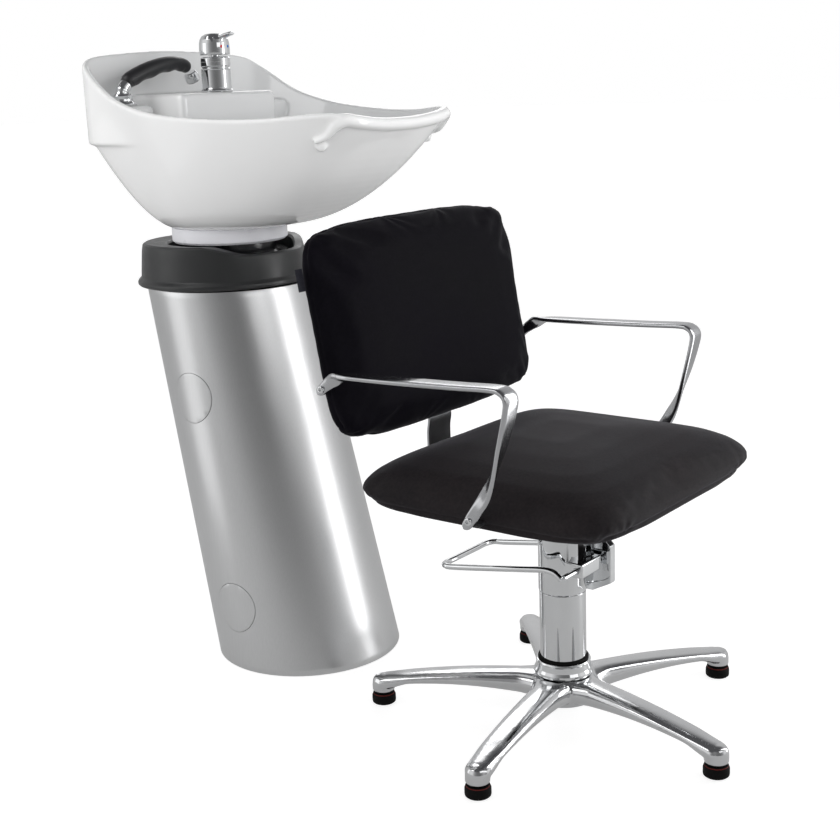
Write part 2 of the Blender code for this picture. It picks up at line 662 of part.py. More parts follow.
def star_leg(centre, out, across):
    """A leg that narrows outwards, its top and underside both arched."""
    sections = []
    for distance, width_share, lowered, raised in LEG_STATIONS:
        f = (distance - 0.02) / 0.30
        reach = min(f, 1)
        half = (0.0285 - 0.0085 * reach) * width_share
        top = 0.0740 - 0.0270 * reach + 0.0060 * sin(pi * reach) - lowered
        low = 0.0310 + 0.0125 * sin(pi * (f * 0.96)) - 0.0120 * smoothstep(f, 0.72, 0.95) + raised
        sections.append([centre + out * distance + across * (half * x)
                         + Vector((0, 0, low + (top - low) * z)) for x, z in LEG_SECTION])
    return skin(sections)


def star_base():
    star = finish("star_base", turned([
        (0.0145, 0.030), (0.052, 0.030), (0.056, 0.048), (0.052, 0.066), (0.044, 0.0745),
        (0.0145, 0.0745)], 25, CHAIR), "star_aluminium", smooth=50)
    centre = Vector((*CHAIR, 0))
    for k in range(5):
        angle = STAR_TURN + k * 2 * pi / 5
        out = Vector((cos(angle), sin(angle), 0))
        across = Vector((-sin(angle), cos(angle), 0))
        cut(star, star_leg(centre, out, across), "UNION")
        pad = centre + out * STAR_R
        finish(f"foot_pad_{k + 1}", turned([
            (PAD_R - 0.002, 0.0), (PAD_R, 0.003), (PAD_R, 0.012), (PAD_R - 0.003, 0.0150),
            (PAD_R - 0.004, 0.0187)], 12, (pad.x, pad.y), ring=False), "black_rubber")


def pump():
    finish("hub_collar", turned([
        (0.0388, 0.0750), (0.0475, 0.0750), (0.0480, 0.0800), (0.0440, 0.0960),
        (0.0425, 0.0990), (0.0388, 0.0990)], 22, CHAIR), "chrome")
    finish("tube_seal", turned([
        (0.0379, 0.0993), (0.0425, 0.0993), (0.0420, 0.1045), (0.0379, 0.1060)], 22, CHAIR),
           "black_rubber")
    bottom, top = HEAD_Z
    tube_top = bottom - 0.0015
    finish("pump_tube", turned([
        (TUBE_BORE_R, 0.0748), (TUBE_R, 0.0748), (TUBE_R, tube_top), (TUBE_BORE_R, tube_top)],
        22, CHAIR), "chrome")

    # the head has a block on its front, bored across for the axle
    ram_bore = RAM_R + GAP
    head = finish("pump_head", turned([
        (ram_bore, bottom - 0.0012), (TUBE_R, bottom - 0.0012),
        (TUBE_R + 0.0010, bottom + 0.002), (TUBE_R + 0.0010, 0.3180), (TUBE_R - 0.003, 0.3210),
        (TUBE_R - 0.003, 0.3300), (0.0300, top - GAP), (ram_bore, top - GAP)], 22, CHAIR),
                  "chrome")
    cut(head, bevelled_box((-0.030, AXLE_Y - 0.011, AXLE_Z - 0.012),
                           (0.030, CHAIR_Y - 0.020, AXLE_Z + 0.012), 0.003), "UNION")
    cut(head, rod((-0.05, AXLE_Y, AXLE_Z), (0.05, AXLE_Y, AXLE_Z), 0.0053, 12))


def pump_cover():
    """A plate on the pump's +X side, narrowing outwards and bored for the axle."""
    outline = [  # y, z
        (-0.626, 0.2240), (-0.592, 0.2060), (-0.545, 0.2060), (-0.535, 0.2220),
        (-0.535, 0.3000), (-0.548, 0.3100), (-0.602, 0.3100), (-0.626, 0.2860)]
    narrowed = [(y * 0.90 - 0.0580, z * 0.88 + 0.0318) for y, z in outline]
    layers = ((0.0395, outline), (0.0530, outline), (0.0600, narrowed))
    cover = finish("pump_cover", skin([[Vector((x, y, z)) for y, z in points]
                                       for x, points in layers]), "chrome", smooth=25)
    cut(cover, rod((0.030, AXLE_Y, AXLE_Z), (0.080, AXLE_Y, AXLE_Z), 0.0062, 12))


def foot_bar():
    """A U-shaped round bar on an axle across the pump head, reaching backwards."""
    x = FOOT_BAR_X
    half = spline([
        (x, AXLE_Y, AXLE_Z), (x, AXLE_Y + 0.014, AXLE_Z + 0.0085),
        (x, AXLE_Y + 0.034, AXLE_Z + 0.0095), (x, AXLE_Y + 0.080, AXLE_Z + 0.002),
        (x, -0.405, 0.2445), (x - 0.002, -0.380, 0.2420), (x - 0.016, -0.371, 0.2410),
        (0.030, -0.371, 0.2410)], 2)
    path = half + [Vector((-p.x, p.y, p.z)) for p in reversed(half)]
    finish("pump_bar", swept(path, 0.0050, 8, up=Z_DIR, carry=True), "chrome", "foot_bar_pivot")
    finish("bar_axle", rod((-AXLE_HALF, AXLE_Y, AXLE_Z), (AXLE_HALF, AXLE_Y, AXLE_Z), 0.0048, 12),
           "chrome", "foot_bar_pivot")


star_base()
pump()
pump_cover()
foot_bar()
finish("ram", upright(CHAIR, 0.1250, RAM_TOP_Z, RAM_R, 18), "chrome", "lift_pivot")


# ---------------------------------------------------------------- chair: seat
def seat_mount_and_board():
    """A bent-steel channel, open to front and rear, and the plywood board above it."""
    mount = finish("seat_mount", bevelled_box((-0.090, CHAIR_Y - 0.080, 0.3348),
                                              (0.090, CHAIR_Y + 0.080, 0.3690), 0.004),
                   "black_paint", SWIVEL, smooth=0)
    cut(mount, box((-0.082, CHAIR_Y - 0.12, 0.3410), (0.082, CHAIR_Y + 0.12, 0.3640)))

    board = box((-0.165, SEAT_Y[0] + 0.095, BOARD_Z),
                (0.165, SEAT_Y[1] - 0.060, SEAT_BOTTOM_Z - GAP))
    upright_edges = [e for e in board.edges
                     if abs(e.verts[0].co.z - e.verts[1].co.z) > 0.005]
    bevel(board, upright_edges, 0.020)
    finish("seat_board", board, "plywood", SWIVEL, smooth=0)


def seat_cushion():
    """The seat's cushion, with a channel in each side for the arm's bracket."""
    mid_y = (SEAT_Y[0] + SEAT_Y[1]) / 2
    half_depth = (SEAT_Y[1] - SEAT_Y[0]) / 2
    edge = SEAT_EDGE_Z - SEAT_BOTTOM_Z
    insets = (  # height above the bottom, inset at the sides, inset at front and rear
        (0.0, 0.024, 0.024), (0.009, 0.009, 0.009), (edge, 0, 0), (edge + 0.020, 0.006, 0.006),
        (edge + 0.042, 0.032, 0.032), (edge + 0.057, 0.085, 0.080),
        (SEAT_TOP_Z - SEAT_BOTTOM_Z, 0.160, 0.145))
    rows = [(z, SEAT_HALF - dx, half_depth - dy) for z, dx, dy in insets]
    cushion = finish("seat_cushion", pillow(Vector((0, mid_y, SEAT_BOTTOM_Z)), X_DIR, Y_DIR,
                                            Z_DIR, rows, 28, 5.6),
                     "upholstery", SWIVEL, smooth=60)
    channel_half = BRACKET_HALF + 0.001
    for side in (-1, 1):
        x_low, x_high = sorted((side * 0.170, side * 0.30))
        cut(cushion, box((x_low, BRACKET_Y - channel_half, 0.37),
                         (x_high, BRACKET_Y + channel_half, 0.4035)))


# ---------------------------------------------------------------- chair: backrest
def on_back(x, up, depth):
    """A point in the backrest's frame."""
    return BACK_ORIGIN + Vector((x, 0, 0)) + BACK_UP * up + BACK_REAR * depth


def slab(half, up_low, up_high, depths, corner):
    """A board in the backrest's frame, rounded at its four corners."""
    x, low, high = half - corner, up_low + corner, up_high - corner
    outline = []
    for corner_x, corner_up, first in ((x, high, 0), (-x, high, 90), (-x, low, 180), (x, low, 270)):
        for k in range(4):
            angle = radians(first + 30 * k)
            outline.append((corner_x + corner * cos(angle), corner_up + corner * sin(angle)))
    return skin([[on_back(px, up, depth) for px, up in outline] for depth in depths])


def backrest():
    insets = (  # depth, inset at the sides, inset at top and bottom
        (0.0, 0.085, 0.075), (0.004, 0.045, 0.040), (0.012, 0.016, 0.014), (0.020, 0, 0),
        (BACK_T - 0.005, 0, 0), (BACK_T, 0.006, 0.006))
    rows = [(depth, BACK_HALF - dx, BACK_H / 2 - du) for depth, dx, du in insets]
    finish("back_cushion", pillow(BACK_ORIGIN + BACK_UP * (BACK_H / 2), X_DIR, BACK_UP,
                                  BACK_REAR, rows, 24, 4.6), "upholstery", SWIVEL, smooth=60)

    # the flat bar lies in a slot in the board's front face
    board = finish("back_board", slab(BACK_HALF - 0.016, 0.014, BACK_H - 0.012,
                                      (BACK_T + GAP, 0.0500), 0.045), "plywood", SWIVEL, smooth=30)
    front, rear = BACK_T - 0.002, STRAP_DEPTH + 0.0058
    slot_half, slot_top = STRAP_HALF + SLOT_PLAY, STRAP_TOP + SLOT_PLAY
    slot = ((-0.02, front), (-0.02, rear), (slot_top, rear), (slot_top, front))
    cut(board, skin([[on_back(x, up, depth) for up, depth in slot]
                     for x in (-slot_half, slot_half)]))

    finish("back_panel", slab(BACK_HALF - 0.014, 0.012, BACK_H - 0.010, (0.0503, 0.0620), 0.048),
           "upholstery", SWIVEL, smooth=30)


def back_bar():
    """The flat bar from under the seat, round behind it and up the back."""
    under_seat = (  # y, z
        (-0.620, 0.3720), (-0.350, 0.3720), (-0.335, 0.3730), (-0.3265, 0.3780),
        (-0.3230, 0.3880), (-0.3215, 0.4100), (-0.3210, 0.4500))
    path = [Vector((0, y, z)) for y, z in under_seat]
    path += [on_back(0, up, STRAP_DEPTH + 0.0026) for up in (-0.002, 0.018, 0.08, STRAP_TOP)]
    finish("back_bar", flat_bar(path, X_DIR, STRAP_HALF, 0.0025), "arm_aluminium", SWIVEL,
           smooth=30)


def back_tag():
    """A small tag on the backrest's -X edge."""
    outer, inner = -BACK_HALF - 0.0160, -BACK_HALF - 0.0010
    low, high = 0.246, 0.246 + 0.034
    outline = ((inner, low), (outer, low), (outer, high), (inner, high))
    finish("back_tag", skin([[on_back(x, up, depth) for x, up in outline]
                             for depth in (0.040, 0.042)]), "tag_fabric", SWIVEL, smooth=0)


# ---------------------------------------------------------------- chair: arms
ARM_PATH = (  # y, z, twist (0 lies level, 1 stands on edge), from the rear end to the foot
    (-0.3040, 0.5635, 1.0), (-0.3140, 0.5725, 1.0), (-0.3240, 0.5805, 1.0),
    (-0.3360, 0.5880, 0.65), (-0.3500, 0.5935, 0.2), (-0.3660, 0.5960, 0.0),
    (-0.4500, 0.5985, 0.0), (-0.5600, 0.6025, 0.0), (-0.6260, 0.6055, 0.0),
    (-0.6440, 0.6025, 0.0), (-0.6520, 0.5925, 0.0), (-0.6500, 0.5735, 0.0),
    (-0.6370, 0.5258, 0.05), (-0.6210, 0.4793, 0.35), (-0.6050, 0.4464, 0.75),
    (-0.5880, 0.4213, 1.0), (-0.5760, 0.4048, 1.0), (-0.5700, 0.3960, 1.0))
ARM_SECTION = (  # share of the half width, share of the half thickness
    (-1, -0.3), (-0.8, -1), (0.8, -1), (1, -0.3), (1, 0.3), (0.8, 1), (-0.8, 1), (-1, 0.3))
ARM_SCREWS = (("front", (-0.5790, 0.4090)), ("rear", (-0.3135, 0.5720)))   # name, (y, z)
BRACKET_BEND = (  # distance from the centre plane, height
    (0.045, 0.3718), (0.168, 0.3718), (0.182, 0.3750), (0.228, 0.3965), (0.240, 0.4000),
    (ARM_X - ARM_T / 2 - GAP, 0.4000))


def arm(side, label):
    """A flat bar that lies level on top and twists to stand against the seat and the back."""
    path = [Vector((side * ARM_X, y, z)) for y, z, _ in ARM_PATH]
    loops = []
    for i, (_, _, twist) in enumerate(ARM_PATH):
        ahead = heading(path, i)
        turn = twist * pi / 2
        wide = X_DIR * cos(turn) + X_DIR.cross(ahead) * sin(turn)
        thick = ahead.cross(wide)
        is_end = i in (0, len(ARM_PATH) - 1)
        half = ARM_W / 2 * (0.60 if is_end else 1.0 - 0.18 * twist)
        loops.append([path[i] + wide * (half * w) + thick * (ARM_T / 2 * t)
                      for w, t in ARM_SECTION])
    finish("arm_" + label, skin(loops), "arm_aluminium", SWIVEL, smooth=40)

    outside = ARM_X + ARM_T / 2 + GAP
    for place, (y, z) in ARM_SCREWS:
        finish(f"arm_screw_{place}_{label}",
               rod((side * outside, y, z), (side * (outside + 0.0035), y, z), 0.0085, 14, 0.0065),
               "chrome", SWIVEL)

    # strap from under the seat board out to the arm's foot
    bracket = [Vector((side * x, BRACKET_Y, z)) for x, z in BRACKET_BEND]
    finish("arm_bracket_" + label, flat_bar(bracket, Y_DIR, BRACKET_HALF, 0.0022),
           "black_paint", SWIVEL, smooth=30)


seat_mount_and_board()
seat_cushion()
backrest()
back_bar()
back_tag()
arm(-1, "right")
arm(1, "left")
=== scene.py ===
# A salon wash unit: a ceramic basin with tap and hand shower, tilting on a leaning steel column,
# and an upholstered armchair on a five-legged base with a foot pump in front of it.
# Metres, +Z up, floor at z = 0.  The column stands at the origin and leans towards +Y.  The chair
# is on the -Y side and its sitter faces -Y, so "left" is +X.
import json
import math

import bmesh
import bpy
import numpy as np
from mathutils import Matrix, Vector


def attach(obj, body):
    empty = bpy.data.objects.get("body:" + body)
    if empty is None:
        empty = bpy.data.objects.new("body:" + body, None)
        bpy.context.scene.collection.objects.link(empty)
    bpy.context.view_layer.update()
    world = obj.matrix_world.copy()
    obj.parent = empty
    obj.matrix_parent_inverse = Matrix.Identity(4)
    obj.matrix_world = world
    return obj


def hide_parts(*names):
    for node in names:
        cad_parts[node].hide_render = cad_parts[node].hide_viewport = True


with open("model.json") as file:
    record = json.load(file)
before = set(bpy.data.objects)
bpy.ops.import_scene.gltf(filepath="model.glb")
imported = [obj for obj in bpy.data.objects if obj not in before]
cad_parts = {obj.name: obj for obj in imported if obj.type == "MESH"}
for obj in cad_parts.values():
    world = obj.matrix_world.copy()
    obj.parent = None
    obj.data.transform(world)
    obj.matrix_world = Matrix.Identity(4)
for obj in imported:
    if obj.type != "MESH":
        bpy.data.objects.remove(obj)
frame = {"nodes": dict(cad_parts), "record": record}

scene = bpy.context.scene
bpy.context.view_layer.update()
NODES = frame["nodes"]
BODY = {n: body for body, names in frame["record"]["behaviour"]["bodies"].items() for n in names}
SLOT = {part["node"]: part["material_slot"] for part in frame["record"]["subparts"]}
GAP = 0.0003            # clearance between touching pieces
X_AXIS, Y_AXIS, Z_AXIS = Vector((1, 0, 0)), Vector((0, 1, 0)), Vector((0, 0, 1))
MAT = {}                # materials by name

# =============================================================== materials


class Graph:
    """A node tree with short ways to add nodes."""

    def __init__(self, tree):
        self.tree = tree

    def feed(self, socket, value):
        """Link an output to the socket, or set its value."""
        if isinstance(value, bpy.types.NodeSocket):
            self.tree.links.new(value, socket)
        else:
            socket.default_value = value

    def new(self, kind, **settings):
        """Add a node; each setting is an input (with _ for a space) or else a property."""
        node = self.tree.nodes.new(kind)
        for key, value in settings.items():
            label = key.replace("_", " ")
            if label in node.inputs.keys():
                self.feed(node.inputs[label], value)
            else:
                setattr(node, key, value)
        return node

    def calc(self, operation, *operands, kind="ShaderNodeMath", output="Value"):
        node = self.new(kind, operation=operation)
        for socket, value in zip(node.inputs, operands):
            self.feed(socket, value)
        return node.outputs[output]

    def ramp(self, fac, stops, interpolation="LINEAR"):
        """Colour ramp; stops are (position, rgb)."""
        node = self.new("ShaderNodeValToRGB", Fac=fac)
        node.color_ramp.interpolation = interpolation
        elements = node.color_ramp.elements
        while len(elements) < len(stops):
            elements.new(0.5)
        for k, (position, colour) in enumerate(stops):
            elements[k].position = position
            elements[k].color = (*colour, 1)
        return node.outputs["Color"]

    def span(self, fac, low, high, start=0.3, end=0.7):
        """Map start..end to low..high."""
        return self.new("ShaderNodeMapRange", From_Min=start, From_Max=end, To_Min=low,
                        To_Max=high, Value=fac).outputs["Result"]

    def split(self, vector):
        return self.new("ShaderNodeSeparateXYZ", Vector=vector).outputs

    def mix_shaders(self, fac, first, second):
        node = self.new("ShaderNodeMixShader", Fac=fac)
        self.feed(node.inputs[1], first)
        self.feed(node.inputs[2], second)
        return node.outputs[0]


class Material(Graph):
    """A Principled material, registered in MAT."""

    def __init__(self, name):
        MAT[name] = material = bpy.data.materials.new(name)
        material.use_nodes = True
        super().__init__(material.node_tree)
        self.shader = self.tree.nodes["Principled BSDF"]
        self.coords = self.new("ShaderNodeTexCoord").outputs["Object"]

    def set(self, **values):
        for key, value in values.items():
            self.feed(self.shader.inputs[key.replace("_", " ")], value)

    def scaled(self, scale):
        return self.new("ShaderNodeMapping", Scale=scale, Vector=self.coords).outputs["Vector"]

    def noise(self, scale, detail=3.0, stretch=(1, 1, 1), rough=0.5):
        return self.new("ShaderNodeTexNoise", Scale=scale, Detail=detail, Roughness=rough,
                        Vector=self.scaled(stretch)).outputs["Fac"]

    def bump(self, height, strength, distance):
        """Lay a bump over any that is already there."""
        node = self.new("ShaderNodeBump", Strength=strength, Distance=distance, Height=height)
        below = self.shader.inputs["Normal"].links
        if below:
            self.feed(node.inputs["Normal"], below[0].from_socket)
        self.set(Normal=node.outputs["Normal"])

    def tint(self, fac, colour, blend="MIX"):
        """Mix a colour over the present base colour."""
        present = self.shader.inputs["Base Color"].links[0].from_socket
        mix = self.new("ShaderNodeMixRGB", blend_type=blend, Fac=fac, Color1=present,
                       Color2=(*colour, 1))
        self.set(Base_Color=mix.outputs["Color"])


def surface(name, colour, rough, metal=0.0, vary=0.06, vary_scale=5.0, rough_vary=0.05,
            rough_scale=18.0, grain=0.10, grain_scale=350.0, depth=0.0004, stretch=(1, 1, 1),
            **extra):
    """Colour drift, roughness drift and a fine surface grain."""
    m = Material(name)
    mean = Vector(colour)
    stops = [(0.30, tuple(mean * (1 - vary))), (0.70, tuple(mean * (1 + vary)))]
    patches = m.noise(rough_scale, detail=5.0, stretch=stretch)
    m.set(Base_Color=m.ramp(m.noise(vary_scale, detail=4.0), stops),
          Roughness=m.span(patches, max(rough - rough_vary, 0.02), rough + rough_vary),
          Metallic=metal, **extra)
    if grain:
        m.bump(m.noise(grain_scale, detail=2.0, stretch=stretch), grain, depth)
    return m


def white_ceramic():
    """Glaze with soft pooling and faint pits, and painted shade that greys it where it faces the
    column's axis.
    """
    m = surface("white_ceramic", (0.93, 0.932, 0.932), 0.10, vary=0.012, vary_scale=3.0,
                rough_vary=0.035, rough_scale=9.0, grain=0.0, Coat_Weight=0.35,
                Coat_Roughness=0.03, Specular_IOR_Level=0.55)
    m.bump(m.noise(scale=14.0, detail=2.0), strength=0.10, distance=0.002)
    m.bump(m.noise(scale=160.0, detail=1.0), strength=0.03, distance=0.0005)
    # painted shade: the glaze colour is multiplied darker on faces turned towards the axis, the
    # bowl's inside, for the shade that falls there
    geometry = m.new("ShaderNodeNewGeometry").outputs
    kind = "ShaderNodeVectorMath"
    level = m.calc("MULTIPLY", geometry["Position"], (1.0, 1.0, 0.0), kind=kind, output="Vector")
    away = m.calc("NORMALIZE", level, kind=kind, output="Vector")
    facing = m.calc("DOT_PRODUCT", away, geometry["Normal"], kind=kind)
    m.tint(m.span(facing, low=1.0, high=0.0, start=-0.25, end=0.10), (0.74, 0.745, 0.75),
           blend="MULTIPLY")


def brushed_steel():
    """Steel brushed along the column."""
    m = Material("brushed_steel")
    fine = m.noise(scale=900.0, detail=3.0, stretch=(1, 1, 0.012), rough=0.7)
    tangent = m.new("ShaderNodeTangent", direction_type="RADIAL", axis="Z")
    m.set(Base_Color=m.ramp(fine, [(0.25, (0.70, 0.705, 0.71)), (0.75, (0.76, 0.765, 0.77))]),
          Roughness=m.span(fine, low=0.275, high=0.305), Metallic=1.0, Anisotropic=0.25,
          Tangent=tangent.outputs["Tangent"])
    m.bump(fine, strength=0.012, distance=0.0002)


def spray_grey():
    """Spray face pitted with small cells."""
    m = surface("spray_grey", (0.09, 0.09, 0.09), 0.5, grain=0.0)
    cells = m.new("ShaderNodeTexVoronoi", Scale=420.0, Vector=m.coords)
    m.bump(cells.outputs["Distance"], strength=0.6, distance=0.0008)


def braided_hose():
    """Two crossing spirals."""
    m = surface("braided_hose", (0.55, 0.56, 0.57), 0.34, metal=1.0, vary=0.1, grain=0.0)
    strands = [m.new("ShaderNodeTexWave", Scale=300.0, Vector=m.scaled((way, 0.4, 1)))
               for way in (1, -1)]
    braid = m.calc("MAXIMUM", *[strand.outputs["Fac"] for strand in strands])
    m.bump(braid, strength=0.5, distance=0.0006)


def flat_metal(name, colour, rough, grain):
    """Polished flat bar with long polishing marks."""
    surface(name, colour, rough, metal=1.0, vary=0.05, vary_scale=12.0, rough_scale=40.0,
            grain=grain, grain_scale=240.0, depth=0.0003, stretch=(1, 0.12, 0.3))


def star_aluminium():
    """Polished casting with a slight waviness."""
    m = surface("star_aluminium", (0.72, 0.725, 0.735), 0.13, metal=1.0, vary=0.05,
                vary_scale=10.0, rough_vary=0.07, rough_scale=35.0, grain=0.0)
    m.bump(m.noise(scale=34.0, detail=2.0), strength=0.16, distance=0.0016)
    m.bump(m.noise(scale=500.0, detail=2.0), strength=0.06, distance=0.0003)


def black_rubber():
    """Rubber with a thin reddish band near the top of the foot pads."""
    m = surface("black_rubber", (0.0035, 0.0033, 0.0033), 0.60, vary=0.2, vary_scale=60.0,
                grain=0.2, grain_scale=700.0, Specular_IOR_Level=0.10)
    band_bottom, band_top = 0.0162, 0.0178
    height = m.split(m.coords)["Z"]
    band = m.calc("MULTIPLY", m.calc("GREATER_THAN", height, band_bottom),
                  m.calc("LESS_THAN", height, band_top))
    m.tint(band, (0.085, 0.012, 0.010))


def plywood():
    """Wavy grain along one way."""
    m = Material("plywood")
    grain = m.new("ShaderNodeTexWave", Scale=26.0, Distortion=7.0, Detail=3.0, Detail_Scale=1.5,
                  Vector=m.scaled((0.25, 1, 1))).outputs["Fac"]
    m.set(Base_Color=m.ramp(grain, [(0.2, (0.36, 0.23, 0.125)), (0.8, (0.52, 0.36, 0.21))]),
          Roughness=m.span(m.noise(scale=18.0, detail=5.0), low=0.55, high=0.65), Metallic=0.0)
    m.bump(grain, strength=0.15, distance=0.0004)


def fabric(name, dark, light, threads, sheen=0.06, shine=0.15):
    """Close-woven cloth: crossing threads, a cloudy bloom and a nap that catches light edge-on."""
    m = Material(name)
    cloud = m.noise(scale=7.0, detail=5.0, rough=0.6)
    fleck = m.noise(scale=240.0, detail=3.0)
    both = m.calc("ADD", m.calc("MULTIPLY", cloud, 0.65), m.calc("MULTIPLY", fleck, 0.35))
    axes = m.split(m.coords)
    thread_phase = threads * math.pi
    warp = m.calc("SINE", m.calc("MULTIPLY", axes["X"], thread_phase))
    along = m.calc("ADD", axes["Y"], m.calc("MULTIPLY", axes["Z"], 1.0))
    weft = m.calc("SINE", m.calc("MULTIPLY", along, thread_phase))
    weave = m.calc("MULTIPLY", warp, weft)
    m.bump(m.noise(scale=38.0, detail=3.0), strength=0.12, distance=0.0015)
    m.bump(m.calc("ADD", m.calc("MULTIPLY", weave, 0.5), fleck), strength=0.30, distance=0.0004)
    m.set(Base_Color=m.ramp(both, [(0.36, dark), (0.64, light)]),
          Roughness=m.span(cloud, low=0.56, high=0.72), Sheen_Weight=sheen,
          Sheen_Roughness=0.40, Sheen_Tint=(0.80, 0.78, 0.88, 1), Specular_IOR_Level=shine)
    # reflected in the bright metal right beside it, but not in the column behind
    reflected_reach = 0.24
    ray = m.new("ShaderNodeLightPath").outputs
    unseen = m.calc("MULTIPLY", ray["Is Glossy Ray"],
                    m.calc("GREATER_THAN", ray["Ray Length"], reflected_reach))
    clear = m.new("ShaderNodeBsdfTransparent").outputs[0]
    m.feed(m.tree.nodes["Material Output"].inputs["Surface"],
           m.mix_shaders(unseen, m.shader.outputs[0], clear))


def make_materials():
    white_ceramic()
    surface("white_collar", (0.90, 0.90, 0.94), 0.30, vary=0.02, grain=0.06, grain_scale=900.0,
            depth=0.0002)
    brushed_steel()
    surface("grey_plastic", (0.021, 0.022, 0.023), 0.36, vary=0.10, vary_scale=14.0,
            rough_scale=60.0, grain=0.25, grain_scale=1500.0, depth=0.0003,
            Specular_IOR_Level=0.5)
    surface("black_gloss", (0.010, 0.010, 0.012), 0.22, vary=0.15, rough_vary=0.04, grain=0.03,
            grain_scale=400.0)
    surface("chrome", (0.78, 0.79, 0.80), 0.055, metal=1.0, vary=0.015, vary_scale=20.0,
            rough_vary=0.025, rough_scale=70.0, grain=0.02, grain_scale=260.0, depth=0.0002)
    surface("grip_black", (0.017, 0.017, 0.019), 0.36, vary=0.15, vary_scale=30.0,
            rough_vary=0.07, rough_scale=90.0, grain=0.18, grain_scale=1100.0, depth=0.0003)
    spray_grey()
    surface("steel_frame", (0.34, 0.35, 0.36), 0.42, metal=0.7, vary=0.12, vary_scale=20.0,
            rough_vary=0.1, grain=0.15)
    surface("black_paint", (0.022, 0.022, 0.024), 0.38, vary=0.2, vary_scale=30.0,
            rough_vary=0.08, rough_scale=50.0, grain=0.22, grain_scale=900.0)
    surface("pipe_plastic", (0.52, 0.52, 0.53), 0.45, vary=0.05, grain=0.1)
    braided_hose()
    flat_metal("arm_aluminium", (0.56, 0.565, 0.58), rough=0.20, grain=0.03)
    # the arms' metal, rougher, and with its colour painted darker as painted shade for the bar
    # under the seat
    flat_metal("back_bar_satin_painted_shade", (0.40, 0.405, 0.42), rough=0.34, grain=0.05)
    star_aluminium()
    black_rubber()
    plywood()
    fabric("upholstery", dark=(0.0018, 0.0015, 0.0032), light=(0.0046, 0.0038, 0.0068),
           threads=900.0, sheen=0.035, shine=0.06)
    # the seat's copy of the same cloth, painted lighter and warmer: painted light for the seat's
    # upward top
    fabric("seat_cloth_painted_lit", dark=(0.0075, 0.0064, 0.0080), light=(0.0190, 0.0155, 0.0165),
           threads=900.0, sheen=0.08, shine=0.11)
    fabric("tag_fabric", dark=(0.012, 0.012, 0.018), light=(0.020, 0.020, 0.028),
           threads=1500.0)
    surface("red_mark", (0.62, 0.02, 0.03), 0.2, vary=0.08, grain=0.03)
    surface("blue_mark", (0.02, 0.16, 0.55), 0.2, vary=0.08, grain=0.03)


make_materials()
for name, ob in NODES.items():
    ob.data.materials.clear()
    ob.data.materials.append(MAT[SLOT[name]])

# =============================================================== numbers and curves


def smooth01(x, start, end):
    """Ease from 0 at start to 1 at end."""
    t = min(max((x - start) / (end - start), 0.0), 1.0)
    return t * t * (3 - 2 * t)


def signed_power(value, power):
    return math.copysign(abs(value) ** power, value)


def angles(count):
    return [2 * math.pi * i / count for i in range(count)]


def catmull(p0, p1, p2, p3, t):
    return 0.5 * ((2 * p1) + (p2 - p0) * t + (2 * p0 - 5 * p1 + 4 * p2 - p3) * t * t
                  + (3 * p1 - p0 - 3 * p2 + p3) * t ** 3)


def spline(points, per):
    """A smooth curve through the points, with per steps between neighbours."""
    points = [Vector(p) for p in points]
    points = [2 * points[0] - points[1]] + points + [2 * points[-1] - points[-2]]
    curve = [catmull(*points[k - 1:k + 3], i / per)
             for k in range(1, len(points) - 2) for i in range(per)]
    return curve + [points[-2]]


def along_path(path):
    """Yield each point with its share of the way and the path's direction there."""
    last = len(path) - 1
    for i, point in enumerate(path):
        ahead, behind = path[min(i + 1, last)], path[max(i - 1, 0)]
        yield i / last, point, (ahead - behind).normalized()


def rounded(profile, radius, steps=4, closed=True):
    """Round a profile's corners; entries past (radius, height) are carried along."""
    out = []
    points = [np.array(p, float) for p in profile]
    count = len(points)
    for i, point in enumerate(points):
        if not closed and i in (0, count - 1):
            out.append(point)
            continue
        before, after = points[i - 1], points[(i + 1) % count]
        len_before = np.linalg.norm((before - point)[:2])
        len_after = np.linalg.norm((after - point)[:2])
        cosine = float(np.dot((before - point)[:2], (after - point)[:2])
                       / (len_before * len_after))
        angle = math.acos(max(-1, min(1, cosine)))
        if angle > math.radians(172):
            out.append(point)
            continue
        trim = min(radius / math.tan(angle / 2), 0.42 * len_before, 0.42 * len_after)
        start = point + (before - point) * (trim / len_before)
        end = point + (after - point) * (trim / len_after)
        for k in range(steps + 1):
            f = k / steps
            out.append(start * (1 - f) ** 2 + point * 2 * f * (1 - f) + end * f * f)
    return out


def raised(base, profile):
    """Lift a (radius, height) profile by base."""
    return [(radius, base + height) for radius, height in profile]

# =============================================================== solids, as (vertices, faces)


def skin(loops, closed=False):
    """Join equal loops; closed runs the last into the first, otherwise the ends are capped."""
    n, m = len(loops[0]), len(loops)
    verts = [tuple(p) for loop in loops for p in loop]
    faces = []
    for row in range(m if closed else m - 1):
        a, b = row * n, ((row + 1) % m) * n
        faces += [(a + i, a + (i + 1) % n, b + (i + 1) % n, b + i) for i in range(n)]
    if not closed:
        faces.append(tuple(range(n - 1, -1, -1)))
        faces.append(tuple((m - 1) * n + i for i in range(n)))
    return verts, faces


def circle(centre, radius, count, z):
    return [Vector((centre[0] + radius * math.cos(a), centre[1] + radius * math.sin(a), z))
            for a in angles(count)]


def lathe(profile, centre, segments, corner, closed=True):
    """Turn a (radius, height) profile round an upright axis, with rounded corners."""
    points = rounded(profile, corner, closed=closed)
    return skin([circle(centre, p[0], segments, p[1]) for p in points], closed)


